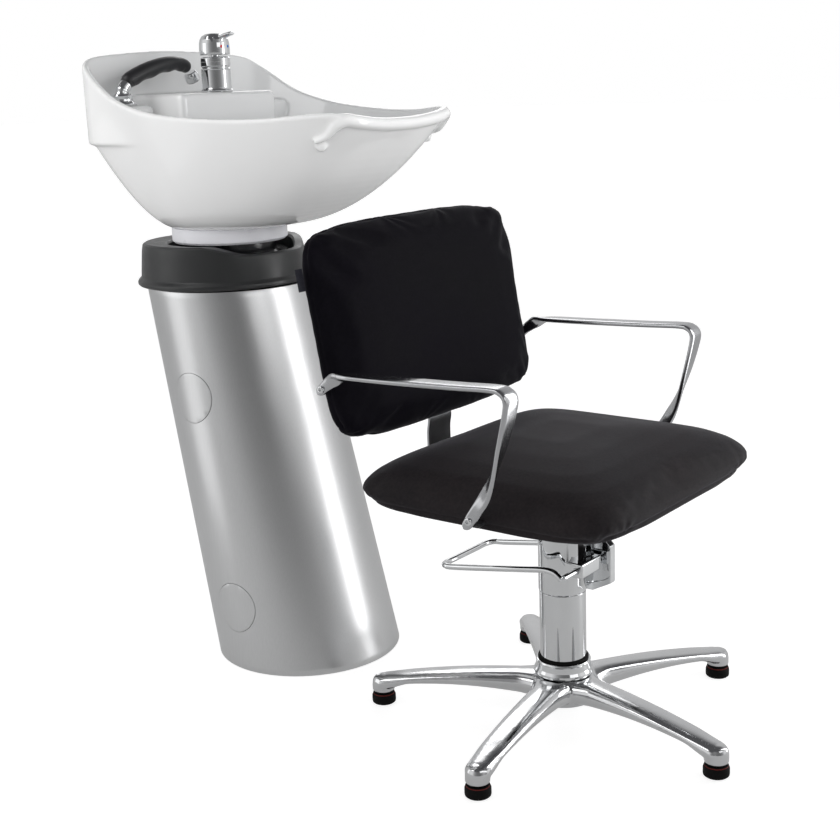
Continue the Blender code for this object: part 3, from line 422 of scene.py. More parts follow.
def swept(path, radius, count, flat=Z_AXIS):
    """A round or oval bar; radius is a number or a rule giving one number or a pair."""
    loops, across = [], Vector(flat)
    for share, point, direction in along_path(path):
        across = (across - direction * across.dot(direction)).normalized()
        other = direction.cross(across)
        r = radius(share) if callable(radius) else radius
        ra, rb = r if isinstance(r, tuple) else (r, r)
        loops.append([point + across * ra * math.cos(a) + other * rb * math.sin(a)
                      for a in angles(count)])
    return skin(loops)


def rod(start, end, radius, count=48):
    start, end = Vector(start), Vector(end)
    turn = (end - start).to_track_quat("Z", "Y")
    return skin([[point + turn @ Vector((radius * math.cos(a), radius * math.sin(a), 0))
                  for a in angles(count)] for point in (start, end)])


def button(start, end, radius, count, socket):
    """A domed screw head with a hexagon socket."""
    turn = (end - start).to_track_quat("Z", "Y")
    height = (end - start).length
    sixth = math.pi / 3
    hexagon = [socket * math.cos(sixth / 2) / math.cos((a + math.pi / 6) % sixth - math.pi / 6)
               for a in angles(count)]
    # (share of radius, share of height)
    dome = [(0.96, 0), (1, 0.10), (1, 0.35), (0.94, 0.66), (0.80, 0.90), (0.66, 1)]
    rows = [([radius * r] * count, height * z) for r, z in dome]
    rows += [(hexagon, height), (hexagon, height * 0.35)]
    return skin([[start + turn @ Vector((r * math.cos(a), r * math.sin(a), z))
                  for r, a in zip(radii, angles(count))] for radii, z in rows])


def block(lo, hi, bevel):
    bm = bmesh.new()
    bmesh.ops.create_cube(bm, size=1.0)
    for v in bm.verts:
        v.co = Vector([lo[k] + (v.co[k] + 0.5) * (hi[k] - lo[k]) for k in range(3)])
    bmesh.ops.bevel(bm, geom=bm.edges[:], offset=bevel, segments=3, profile=0.5,
                    affect="EDGES", clamp_overlap=True)
    solid = [tuple(v.co) for v in bm.verts], [tuple(v.index for v in f.verts) for f in bm.faces]
    bm.free()
    return solid


def flat_bar(path, across, half_width, half_thick):
    """A flat bar with rounded edges."""
    edge, steps = half_thick * 0.5, 5
    loops = []
    for _, point, direction in along_path(path):
        wide = (across - direction * across.dot(direction)).normalized()
        thick = direction.cross(wide)
        ring = []
        for sx, st, start in ((1, 1, 0), (-1, 1, 90), (-1, -1, 180), (1, -1, 270)):
            for k in range(steps):
                a = math.radians(start + 90 * k / (steps - 1))
                ring.append(point + wide * (sx * (half_width - edge) + edge * math.cos(a))
                            + thick * (st * (half_thick - edge) + edge * math.sin(a)))
        loops.append(ring)
    return skin(loops)


def pillow(rows, count, centre, axes, power):
    """A cushion from rows of (offset, half width, half height); power squares its corners."""
    loops = []
    for offset, half_x, half_y in rows:
        loops.append([centre + axes[0] * (signed_power(math.cos(a), 2 / power) * half_x)
                      + axes[1] * (signed_power(math.sin(a), 2 / power) * half_y)
                      + axes[2] * offset for a in angles(count)])
    return skin(loops)

# =============================================================== objects


def shade(ob, sharp=32, weighted=True):
    """Smooth shading, with edges past the sharp angle (degrees) kept crisp."""
    ob.data.shade_smooth()
    if sharp:
        ob.data.set_sharp_from_angle(angle=math.radians(sharp))
    if weighted:
        modifier = ob.modifiers.new("weighted", "WEIGHTED_NORMAL")
        modifier.keep_sharp = True
        modifier.weight = 90
    return ob


def build(name, solid, material, sharp=32, weighted=True):
    mesh = bpy.data.meshes.new(name)
    mesh.from_pydata(solid[0], [], solid[1])
    bm = bmesh.new()
    bm.from_mesh(mesh)
    bmesh.ops.remove_doubles(bm, verts=bm.verts[:], dist=1e-6)
    bmesh.ops.recalc_face_normals(bm, faces=bm.faces[:])
    bm.to_mesh(mesh)
    bm.free()
    mesh.materials.append(MAT[material])
    ob = bpy.data.objects.new(name, mesh)
    scene.collection.objects.link(ob)
    return shade(ob, sharp, weighted)


def place(ob, node):
    """Let ob stand in for a CAD node and move with its body."""
    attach(ob, BODY[node])
    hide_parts(node)


def add(node, solid, material, sharp=32, weighted=True, name=None):
    """Build the piece that stands in for a node."""
    ob = build(name or node + "_skin", solid, material, sharp, weighted)
    place(ob, node)
    return ob


def bake(ob):
    """Turn the modifiers into the mesh itself."""
    bpy.context.view_layer.update()
    depsgraph = bpy.context.evaluated_depsgraph_get()
    mesh = bpy.data.meshes.new_from_object(ob.evaluated_get(depsgraph), depsgraph=depsgraph)
    ob.modifiers.clear()
    old = ob.data
    ob.data = mesh
    bpy.data.meshes.remove(old)


def boolean(ob, tool, operation="DIFFERENCE"):
    """Cut ob with a solid or an object, or join or intersect them."""
    if not isinstance(tool, bpy.types.Object):
        tool = build("tool", tool, "chrome", weighted=False)
    modifier = ob.modifiers.new("bool", "BOOLEAN")
    modifier.operation, modifier.object, modifier.solver = operation, tool, "EXACT"
    bake(ob)
    bpy.data.objects.remove(tool)


def bevel_edges(ob, width, segments, angle=30):
    modifier = ob.modifiers.new("bevel", "BEVEL")
    modifier.width, modifier.segments = width, segments
    modifier.limit_method, modifier.angle_limit = "ANGLE", math.radians(angle)
    bake(ob)


def add_remesh(ob, voxel, smooth_shade=True):
    modifier = ob.modifiers.new("remesh", "REMESH")
    modifier.mode, modifier.voxel_size = "VOXEL", voxel
    modifier.use_smooth_shade = smooth_shade


def add_smooth(ob, rounds):
    modifier = ob.modifiers.new("smooth", "SMOOTH")
    modifier.factor, modifier.iterations = 0.5, rounds


def melt(ob, voxel, rounds):
    """Run the solids of ob together and soften every edge and junction."""
    add_remesh(ob, voxel)
    add_smooth(ob, rounds)
    materials = list(ob.data.materials)
    bake(ob)
    ob.data.materials.clear()
    for material in materials:
        ob.data.materials.append(material)
    ob.data.shade_smooth()


def joined(name, obs):
    """One object from several."""
    bm = bmesh.new()
    for ob in obs:
        bm.from_mesh(ob.data)
    mesh = bpy.data.meshes.new(name)
    bm.to_mesh(mesh)
    bm.free()
    mesh.materials.append(obs[0].data.materials[0])
    for ob in obs:
        bpy.data.objects.remove(ob)
    ob = bpy.data.objects.new(name, mesh)
    scene.collection.objects.link(ob)
    return ob

# =============================================================== column
FOOT_R, SHELL_TOP_Z, SHELL_TOP_R, SHELL_WALL = 0.168, 0.672, 0.1485, 0.002
LEAN = 0.165 / 0.741                    # shift in y per metre of height
CAP_R, CAP_CLEARANCE = 0.0445, 0.0007
RING_TOP_Z, RING_R, RING_STEP, HOLE_R, FLANGE_R = 0.749, 0.145, 0.016, 0.113, 0.1565
AXIS_Y, TILT_Z, BALL_R = 0.140, 0.706, 0.090
BASIN_AXIS = (0, AXIS_Y)


def lean_y(z):
    return LEAN * z


def shell_skin(outset):
    """The leaning conical sheet, with a small lip at both ends."""
    edge, rows, top = 0.0006, 56, SHELL_TOP_Z
    points = [(0.0, outset + edge), (edge * 0.3, outset + edge * 0.3), (edge, outset)]
    points += [(top * k / rows, outset) for k in range(1, rows)]
    points += [(top - edge, outset), (top - edge * 0.3, outset + edge * 0.3),
               (top, outset + edge), (top, SHELL_WALL), (0.0, SHELL_WALL)]
    return skin([circle((0, lean_y(z)), shell_r(z) - inset, 168, z) for z, inset in points], True)


def shell_r(z):
    return FOOT_R + (SHELL_TOP_R - FOOT_R) * z / SHELL_TOP_Z


# shell, with two round access caps on its -X side
shell = build("column_skin", shell_skin(0), "brushed_steel", weighted=False)
for level, z in (("upper", 0.486), ("lower", 0.113)):
    x = -shell_r(z)
    ends = (x - 0.03, lean_y(z), z), (x + 0.03, lean_y(z), z)
    boolean(shell, rod(*ends, CAP_R + CAP_CLEARANCE, 72))
    cap = build("cap_%s_skin" % level, shell_skin(-0.0005), "brushed_steel", weighted=False)
    boolean(cap, rod(*ends, CAP_R, 72), "INTERSECT")
    bevel_edges(cap, width=0.0005, segments=2, angle=50)
    shade(cap, 30, False)
    place(cap, "access_cap_" + level)
shade(shell, 30, False)
place(shell, "column_shell")

# ring cover: its top dips at the front
# (radius, height, share of the dip, share of the shift to the basin's axis)
RING_PROFILE = [
    (FLANGE_R - 0.001, 0.6735, 0, 0), (FLANGE_R + 0.0012, 0.6760, 0, 0),
    (FLANGE_R + 0.0015, 0.6790, 0, 0), (FLANGE_R + 0.0006, 0.6822, 0, 0),
    (FLANGE_R - 0.002, 0.6850, 0, 0), (RING_R + 0.0075, 0.6868, 0, 0),
    (RING_R + 0.0060, 0.6890, 0, 0), (RING_R + 0.0055, 0.6965, 0, 0),
    (RING_R + 0.002, 0.735, 0.6, 0), (RING_R - 0.0002, 0.7462, 1, 0),
    (RING_R - 0.0050, RING_TOP_Z, 1, 0), (HOLE_R + 0.003, RING_TOP_Z - 0.001, 1, 1),
    (HOLE_R, RING_TOP_Z - 0.005, 1, 1), (HOLE_R, 0.703, 0, 1),
    (RING_R + 0.0025, 0.681, 0, 0), (RING_R + 0.0025, 0.6735, 0, 0)]
RING_Y = lean_y(0.717)


def ring_dip(angle):
    off_front = abs((angle + math.pi / 2 + math.pi) % (2 * math.pi) - math.pi)
    return RING_STEP * (1 - smooth01(off_front, math.radians(27), math.radians(64)))


ring_loops = []
for radius, z, dip, shift in rounded(RING_PROFILE, 0.0022, 5):
    y = RING_Y + (AXIS_Y - RING_Y) * shift
    ring_loops.append([Vector((radius * math.cos(a), y + radius * math.sin(a),
                               z - dip * ring_dip(a))) for a in angles(224)])
add("ring_cover", skin(ring_loops, True), "grey_plastic", 28)


def seat_r(height):
    """Radius of the hollow that holds the ball, at a height from its centre."""
    return math.sqrt((BALL_R + 0.0016) ** 2 - height * height)


socket_profile = [
    (0.097, 0.6523), (0.106, 0.6523), (0.1085, 0.706), (0.1085, 0.7225), (0.102, 0.7285),
    (seat_r(0.0185) + 0.001, 0.7260)]
socket_profile += [(seat_r(abs(dz)), TILT_Z + dz) for dz in (0.0185, 0.009, 0.0, -0.009, -0.0185)]
socket_profile.append((0.097, 0.684))
add("tilt_socket", lathe(socket_profile, BASIN_AXIS, segments=128, corner=0.0016),
    "black_gloss", name="socket_skin")

# =============================================================== basin
BOWL_Z, BOTTOM_R, FLOOR_Z, FLOOR_R = 0.776, 0.0985, 0.792, 0.055
LEDGE_Y, LEDGE_Z, LEDGE_HALF = 0.1155, 1.010, 0.118
STEP_Z, SKIRT, SHELF_Z = 0.925, 0.012, 0.992    # SKIRT: set-back of the rear wall below STEP_Z
DRAIN_Y, COLLAR_R = 0.085, 0.104
HOLDER_X = 0.175
HOLDER = (-HOLDER_X, 0.200)
AXIS, FLOOR = Vector((0, AXIS_Y, 0)), Vector((0, 0.066, 0))
# half of the rim from the middle of the neck notch round to the middle of the back: (x, y, z)
RIM = (
    (0.000, -0.268, 0.960), (0.052, -0.270, 0.9615), (0.104, -0.271, 0.967),
    (0.141, -0.258, 0.972), (0.168, -0.222, 0.973), (0.204, -0.130, 0.968),
    (0.232, -0.020, 0.972), (0.239, 0.080, 0.984), (0.232, 0.165, 1.008),
    (0.219, 0.236, 1.050), (0.191, 0.268, 1.072), (0.110, 0.275, 1.081), (0.000, 0.277, 1.085))
HALF_STATIONS = 84
STEP_RISES = [0.004, 0.008, 0.013, 0.019, 0.026, 0.035]     # rows just above STEP_Z
ROLL_ANGLES = (0, 22, 45, 67, 90, 112, 135, 157, 176)
INNER_SHARES = [1.0, 0.985, 0.965, 0.94, 0.91, 0.87, 0.82, 0.76, 0.70, 0.63, 0.56, 0.49, 0.42,
                0.35, 0.28, 0.21, 0.14, 0.07, 0.0]


def mirrored(point):
    return Vector((-point.x, point.y, point.z))


def rim_station(t):
    """Point on the half rim, t from 0 (front) to 1 (back)."""
    points = [Vector(p) for p in RIM]
    points = [mirrored(points[1])] + points + [mirrored(points[-2])]
    u = t * (len(RIM) - 1)
    k = min(int(u), len(RIM) - 2)
    return catmull(*points[k:k + 4], u - k)


def rim_normal(t):
    """Level direction out of the bowl."""
    if t in (0, 1):
        return Vector((0, 2 * t - 1, 0))
    d = rim_station(min(t + 0.004, 1)) - rim_station(max(t - 0.004, 0))
    return Vector((d.y, -d.x, 0)).normalized()


def basin_station(t, side):
    """Points up the outer wall, over the rolled rim and down to the bowl's floor."""
    rim, normal = rim_station(t), rim_normal(t)
    normal = Vector((side * normal.x, normal.y, 0))
    flat = Vector((side * rim.x, rim.y, 0))
    neck = 1 - smooth01(t, 0.12, 0.25)
    back = smooth01(t, 0.60, 0.74)
    roll = 0.0058 + 0.0042 * neck
    power = 0.47 - 0.04 * smooth01(t, 0.25, 0.45) + 0.19 * smooth01(t, 0.58, 0.80)
    z_edge = rim.z - roll
    step = (STEP_Z - BOWL_Z) / (z_edge - BOWL_Z)
    step_share = (1 - back) * step ** power + back
    bottom = AXIS + (flat - AXIS).normalized() * BOTTOM_R
    skirt = flat - normal * SKIRT * back
    column = []
    for f in [k / 20 for k in range(21)]:
        q = bottom + (skirt - bottom) * (f * step_share)
        column.append(Vector((q.x, q.y, BOWL_Z + (z_edge - BOWL_Z) * step * f ** (1 / power))))
    heights = [step + rise for rise in STEP_RISES]
    heights += [step + 0.035 + (0.992 - step - 0.035) * (j + 1) / 8 for j in range(8)]
    for h in heights:
        share = (1 - back) * min(h, 1) ** power + back
        wall = flat - normal * (SKIRT * back * (1 - smooth01(h - step, 0.0, 0.02)))
        q = bottom + (wall - bottom) * share
        column.append(Vector((q.x, q.y, BOWL_Z + (z_edge - BOWL_Z) * min(h, 1))))
    for a in ROLL_ANGLES:
        q = flat - normal * roll * (1 - math.cos(math.radians(a)))
        column.append(Vector((q.x, q.y, z_edge + roll * math.sin(math.radians(a)))))
    inner = flat - normal * roll * 2
    away = (inner - FLOOR).normalized()
    foot = FLOOR + Vector((away.x * FLOOR_R, away.y * FLOOR_R, 0))
    for share in INNER_SHARES:
        q = foot + (inner - foot) * share
        column.append(Vector((q.x, q.y, FLOOR_Z + (z_edge - FLOOR_Z) * share ** (1 / 0.44))))
    return column


stations = [basin_station(i / HALF_STATIONS if i <= HALF_STATIONS else 2 - i / HALF_STATIONS,
                          1 if i <= HALF_STATIONS else -1) for i in range(2 * HALF_STATIONS)]
bowl = build("basin_glazed", skin(list(zip(*stations))), "white_ceramic", weighted=False)

# tap ledge across the back, as (y, z)
LEDGE_PROFILE = ((LEDGE_Y, 0.796), (0.208, 0.796), (0.266, 0.945), (0.266, LEDGE_Z - 0.0006),
                 (LEDGE_Y, LEDGE_Z - 0.0006))
ledge = build("ledge", skin([[Vector((x, y, z)) for y, z in LEDGE_PROFILE]
                             for x in (-LEDGE_HALF, LEDGE_HALF)]), "white_ceramic",
              weighted=False)
bevel_edges(ledge, width=0.011, segments=4)
boolean(bowl, ledge, "UNION")

# a lower shelf at each end of the ledge, with a round recess over it
for side in (-1, 1):
    x0, x1 = sorted((side * 0.128, side * 0.2080))
    shelf_top = SHELF_Z - 0.0004
    boolean(bowl, block((x0, 0.170, 0.93), (x1, 0.256, shelf_top), 0.009), "UNION")
    x, y = side * HOLDER_X, HOLDER[1]
    boolean(bowl, rod((x, y, shelf_top), (x, y, 1.10), 0.0275))

# rolled neck rest across the front: it runs out past both horns and dies into the bowl's side
half_neck = []
for t in (0.335, 0.30, 0.262, 0.225, 0.185, 0.14, 0.095, 0.05, 0.0):
    tail = smooth01(t, 0.225, 0.335)
    half_neck.append(rim_station(t) - rim_normal(t) * (0.0085 + 0.0090 * tail)
                     - Vector((0, 0, 0.0098 + 0.034 * tail)))


def roll_radii(share):
    taper = smooth01(abs(share - 0.5) * 2, 0.66, 1.0)
    return 0.0108 - 0.0066 * taper, 0.0125 - 0.0080 * taper


neck_curve = spline([mirrored(p) for p in half_neck] + half_neck[-2::-1], 8)
boolean(bowl, swept(neck_curve, roll_radii, 20, (0, -0.3, 1)), "UNION")


def lug_radius(share):
    return 0.0088 if share < 0.6 else (0.0078 if share < 0.8 else 0.0040)


# round lug under each horn
for side in (-1, 1):
    centre = Vector((side * 0.1373, -0.2135, 0.9222))
    out = Vector((side * 0.72, -0.62, -0.30)).normalized()
    lug_path = [centre - out * 0.012, centre - out * 0.002, centre + out * 0.0030,
                centre + out * 0.0052, centre + out * 0.0060]
    boolean(bowl, swept(lug_path, lug_radius, 28), "UNION")
melt(bowl, 0.0026, 7)
boolean(bowl, rod((0, DRAIN_Y, 0.75), (0, DRAIN_Y, 0.83), 0.0205))
boolean(bowl, rod((*HOLDER, 0.90), (*HOLDER, 1.02), 0.0098, 32))
shade(bowl, 48, False)
place(bowl, "basin_bowl")

# collar and ball under the bowl
COLLAR_PROFILE = [(COLLAR_R - 0.004, 0.748), (COLLAR_R, 0.752), (COLLAR_R, BOWL_Z - GAP),
                  (0.0895, BOWL_Z - GAP), (0.0895, 0.748)]
add("basin_collar", lathe(COLLAR_PROFILE, BASIN_AXIS, segments=144, corner=0.0012),
    "white_collar", name="collar_skin")
ball_profile = [(0.080, 0.688)]
for k in range(13):
    z = 0.688 + 0.036 * k / 12
    ball_profile.append((math.sqrt(BALL_R ** 2 - (z - TILT_Z) ** 2), z))
ball_profile += [(0.0825, 0.729), (0.0825, 0.766), (0.0888, 0.7665), (0.0888, BOWL_Z - GAP),
                 (0.080, BOWL_Z - GAP)]
add("tilt_ball", lathe(ball_profile, BASIN_AXIS, segments=128, corner=0.0010), "black_gloss",
    name="ball_skin")

# waste fitting and its domed strainer with two rings of holes
WASTE_PROFILE = [(0.0165, 0.612), (0.0195, 0.612), (0.0195, FLOOR_Z + GAP),
                 (0.030, FLOOR_Z + GAP), (0.0305, 0.7945), (0.024, 0.7955), (0.0165, 0.7935)]
STRAINER_PROFILE = [(0.0225, 0.7962), (0.0225, 0.7974), (0.0120, 0.7997), (0.0040, 0.8002),
                    (0.0040, 0.7982), (0.0120, 0.7977), (0.0200, 0.7962)]
add("waste_fitting", lathe(WASTE_PROFILE, (0, DRAIN_Y), segments=72, corner=0.0006), "chrome")
strainer = build("strainer_skin", lathe(STRAINER_PROFILE, (0, DRAIN_Y), 64, 0.0004), "chrome")
bake(strainer)
for count, pitch_r in ((6, 0.0085), (10, 0.0150)):
    for k in range(count):
        a = 2 * math.pi * (k + 0.5) / count
        hole = (pitch_r * math.cos(a), DRAIN_Y + pitch_r * math.sin(a))
        boolean(strainer, rod((*hole, 0.79), (*hole, 0.81), 0.0017, 14))
shade(strainer, 30)
place(strainer, "strainer")

# =============================================================== tap, heights from the ledge
TAP_Y, TAP_R = 0.148, 0.0262
TAP_BODY = [
    (0.0145, -0.068), (0.0145, GAP), (0.0283, GAP), (0.0285, 0.0022), (0.0268, 0.0042),
    (TAP_R - 0.0002, 0.0065), (TAP_R - 0.0004, 0.0370), (TAP_R, 0.0388),
    (TAP_R - 0.0016, 0.0404), (TAP_R - 0.0016, 0.0424), (TAP_R, 0.0440), (TAP_R, 0.0505)]
TAP_RING = [(TAP_R, 0.0508), (TAP_R, 0.0570), (TAP_R - 0.002, 0.0595), (0.0075, 0.0595),
            (0.0075, 0.0750), (0.0055, 0.0765)]
TAP_LEVER = [
    (0.0145, 0.0625), (TAP_R + 0.0005, 0.0625), (TAP_R + 0.0008, 0.0730),
    (TAP_R + 0.0002, 0.0830), (TAP_R - 0.0012, 0.0890), (TAP_R - 0.0048, 0.0948),
    (TAP_R - 0.0115, 0.0985), (0.0050, 0.0998), (0.0040, 0.0870), (0.0145, 0.0840)]
# centre line of the lever's handle: (y from the tap's axis, height)
HANDLE = ((-0.006, 0.0900), (-0.020, 0.0928), (-0.032, 0.0955), (-0.0405, 0.0972),
          (-0.0455, 0.0978))


def tap_turned(profile, corner, segments=96, closed=False):
    return lathe(raised(LEDGE_Z, profile), (0, TAP_Y), segments, corner, closed)


def tap_point(x, y, z):
    return Vector((x, TAP_Y + y, LEDGE_Z + z))


def handle_radii(share):
    blunt = share >= 0.93
    return ((0.0046 - 0.0016 * share) * (0.72 if blunt else 1),
            (0.0100 - 0.0028 * share) * (0.74 if blunt else 1))


add("tap_body", tap_turned(TAP_BODY, corner=0.0007), "chrome")
add("tap_cartridge", tap_turned(TAP_RING, corner=0.0008), "chrome", name="tap_ring_skin")
lever = build("tap_lever_skin", tap_turned(TAP_LEVER, 0.0016, segments=112, closed=True),
              "chrome")
bake(lever)
boolean(lever, rod(tap_point(0, 0, 0.0850), tap_point(0, 0, 0.0996), 0.0070, 40), "UNION")
handle_path = spline([tap_point(0, y, z) for y, z in HANDLE], 8)
boolean(lever, swept(handle_path, handle_radii, 28), "UNION")
# a shallow scallop either side of the handle
for side in (-1, 1):
    boolean(lever, rod(tap_point(side * 0.030, -0.030, 0.070),
                       tap_point(side * 0.021, -0.012, 0.110), 0.0085, 36))
shade(lever, 35)
place(lever, "tap_lever")
for side, name, material in ((-1, "mark_red", "red_mark"), (1, "mark_blu", "blue_mark")):
    a = math.radians(-90 + side * 17)
    out = Vector((math.cos(a), math.sin(a), 0))
    start = tap_point(0, 0, 0.0765) + out * (TAP_R + 0.0008 - 0.0006)
    mark = build(name, button(start, start + out * 0.0011, 0.0026, 24, 0.0009), material, 40)
    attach(mark, "tap_handle")

for side, node in ((-1, "supply_hose_hot"), (1, "supply_hose_cold")):
    hose = [(side * 0.0075, TAP_Y, LEDGE_Z - 0.0705), (side * 0.012, TAP_Y + 0.004, 0.90),
            (side * 0.024, TAP_Y + 0.010, 0.82), (side * 0.030, TAP_Y + 0.010, 0.70),
            (side * 0.030, TAP_Y + 0.008, 0.605)]
    add(node, swept(spline(hose, 10), 0.0054, 24), "braided_hose")

# =============================================================== hand shower
HOLDER_Z = SHELF_Z + GAP
HOLDER_RISE = [                         # (radius, height over HOLDER_Z)
    (0.0088, 0), (0.0232, 0), (0.0240, 0.0022), (0.0225, 0.0048), (0.0188, 0.0072),
    (0.0182, 0.0110), (0.0190, 0.0160), (0.0165, 0.0195), (0.0135, 0.0195), (0.0128, 0.006),
    (0.0062, 0.004)]
holder_profile = [(0.0088, 0.950)] + raised(HOLDER_Z, HOLDER_RISE) + [(0.0062, 0.950)]
add("handset_holder", lathe(holder_profile, HOLDER, segments=80, corner=0.0008), "chrome",
    name="holder_skin")
add("handset_hose", rod((*HOLDER, 0.880), (*HOLDER, HOLDER_Z + 0.0035), 0.0051, 24),
    "braided_hose")

# neck rising out of the holder and bending to +X: (x from the holder, height over the shelf)
NECK = ((0, 0.0068), (0, 0.0195), (0.004, 0.028), (0.013, 0.036))
neck_path = spline([(HOLDER[0] + x, HOLDER[1], SHELF_Z + z) for x, z in NECK], 12)


def neck_radius(share):
    radius = 0.0120 - 0.0014 * smooth01(share, 0.25, 0.4)
    radius += 0.0006 * smooth01(share, 0.46, 0.50) * (1 - smooth01(share, 0.60, 0.64))
    radius -= 0.0012 * smooth01(share, 0.95, 1.0)
    return radius - 0.0010 * (1 - smooth01(share, 0.0, 0.05))


add("handset_neck", swept(neck_path, neck_radius, 48, Y_AXIS), "chrome", 40)

# grip with finger waves underneath
neck_end = (neck_path[-1] - neck_path[-2]).normalized()
grip_start = neck_path[-1] + neck_end * GAP
GRIP = [grip_start + neck_end * 0.004, grip_start + neck_end * 0.012]
GRIP += [(grip_start.x + x, HOLDER[1] + y, SHELF_Z + z) for x, y, z in (
    (0.050, 0.002, 0.058), (0.095, 0.004, 0.0675), (0.130, 0.005, 0.0675),
    (0.147, 0.005, 0.061))]
grip_loops, across = [], Y_AXIS
for share, point, direction in along_path([grip_start] + spline(GRIP, 16)):
    across = (across - direction * across.dot(direction)).normalized()
    under = direction.cross(across)
    if under.z > 0:
        under = -under
    radius = 0.0122 + 0.0018 * math.sin(math.pi * min(share * 1.3, 1))
    radius -= 0.0012 * smooth01(share, 0.88, 1)
    radius *= (1 - 0.16 * (1 - smooth01(share, 0.0, 0.03))
               - 0.14 * smooth01(share, 0.975, 1.0))
    wave = (0.0011 * math.sin(2 * math.pi * share * 5.2) * smooth01(share, 0.2, 0.3)
            * (1 - smooth01(share, 0.82, 0.9)))
    ring = []
    for a in angles(40):
        r = radius + wave * max(math.sin(a), 0.0) ** 1.5 + 0.0004 * math.cos(2 * a)
        ring.append(point + across * r * math.cos(a) + under * r * math.sin(a))
    grip_loops.append(ring)
add("handset_grip", skin(grip_loops), "grip_black", 40)

# head and spray face
coarse_grip = spline(GRIP, 3)
spray = Vector((0.45, 0, -0.89)).normalized()
head_start = (coarse_grip[-1] + (coarse_grip[-1] - coarse_grip[-2]).normalized() * 0.0022
              + spray * 0.0075)


def head_radius(share):
    return (0.0110 + 0.0022 * smooth01(share, 0, 0.5) - 0.0010 * smooth01(share, 0.93, 1)
            - 0.0012 * (1 - smooth01(share, 0, 0.07)))


def face_radius(share):
    return 0.0110 if 0.1 < share < 0.9 else 0.0106


head_path = [head_start + spray * (0.017 * k / 16) for k in range(17)]
add("handset_head", swept(head_path, head_radius, 48, Y_AXIS), "chrome", 45)
face_path = [head_start + spray * d for d in (0.0173, 0.0176, 0.0182, 0.0185)]
add("spray_face", swept(face_path, face_radius, 48, Y_AXIS), "spray_grey", 45)

# =============================================================== chair: star base
CHAIR_Y, STAR_R, STAR_TURN, PAD_R = -0.560, 0.304, math.radians(115.5), 0.0200
CHAIR_AXIS = (0, CHAIR_Y)
LEG_START, LEG_END, LEG_SECTIONS = 0.016, 0.3218, 44
HUB_PROFILE = [(0.0145, 0.030), (0.052, 0.030), (0.056, 0.048), (0.052, 0.066),
               (0.0470, 0.0735), (0.0145, 0.0735)]
CUP_PROFILE = [(0.0172, 0.0212), (0.0188, 0.0224), (0.0186, 0.0330), (0.0178, 0.0400),
               (0.0145, 0.0462), (0.0060, 0.0488)]
PAD_PROFILE = [(PAD_R - 0.0022, 0.0), (PAD_R - 0.0004, 0.0016), (PAD_R, 0.0040),
               (PAD_R - 0.0001, 0.0125), (PAD_R - 0.0012, 0.0155), (PAD_R - 0.0020, 0.0165),
               (PAD_R - 0.0020, 0.0180), (PAD_R - 0.0034, 0.0187)]


def leg_section(reach, along, across):
    """Section of a leg at a distance from the chair's axis, arched below and blunt at the tip."""
    f = (reach - 0.02) / 0.30
    half = 0.0290 - 0.0090 * min(f, 1) + 0.010 * (1 - smooth01(reach, 0.03, 0.075))
    top = 0.0740 - 0.0270 * min(f, 1) + 0.0060 * math.sin(math.pi * max(min(f, 1), 0))
    low = (0.0310 + 0.0125 * math.sin(math.pi * max(min(f * 0.96, 1), 0))
           - 0.0090 * smooth01(f, 0.78, 0.93))
    tip = smooth01(reach, 0.300, 0.3225)
    half *= math.sqrt(max(1 - tip * tip * 0.90, 0.02))
    top -= 0.010 * tip * tip
    ring = []
    for a in angles(32):
        cosine, sine = math.cos(a), math.sin(a)
        x = signed_power(cosine, 0.55 if sine < 0 else 0.80)
        z = signed_power(sine, 0.50 if sine < 0 else 0.85)
        narrow = 1 - 0.16 * max(-sine, 0)
        ring.append(Vector((*CHAIR_AXIS, 0)) + along * reach + across * (half * narrow * x)
                    + Vector((0, 0, (low + top) / 2 + (top - low) / 2 * z)))
    return ring


parts = [build("star_cast", lathe(HUB_PROFILE, CHAIR_AXIS, 96, 0.002), "star_aluminium")]
for k in range(5):
    a = STAR_TURN + k * 2 * math.pi / 5
    along = Vector((math.cos(a), math.sin(a), 0))
    across = Vector((-math.sin(a), math.cos(a), 0))
    reaches = [LEG_START + (LEG_END - LEG_START) * j / (LEG_SECTIONS - 1)
               for j in range(LEG_SECTIONS)]
    parts.append(build("leg", skin([leg_section(reach, along, across) for reach in reaches]),
                       "star_aluminium"))
    foot = Vector((*CHAIR_AXIS, 0)) + along * STAR_R
    parts.append(build("cup", lathe(CUP_PROFILE, foot, 48, 0.002, closed=False),
                       "star_aluminium"))
    add("foot_pad_%d" % (k + 1), lathe(PAD_PROFILE, foot, 64, 0.0007, closed=False),
        "black_rubber", name="pad_%d" % (k + 1))
star = joined("star_casting", parts)
melt(star, 0.0017, 9)
place(star, "star_base")

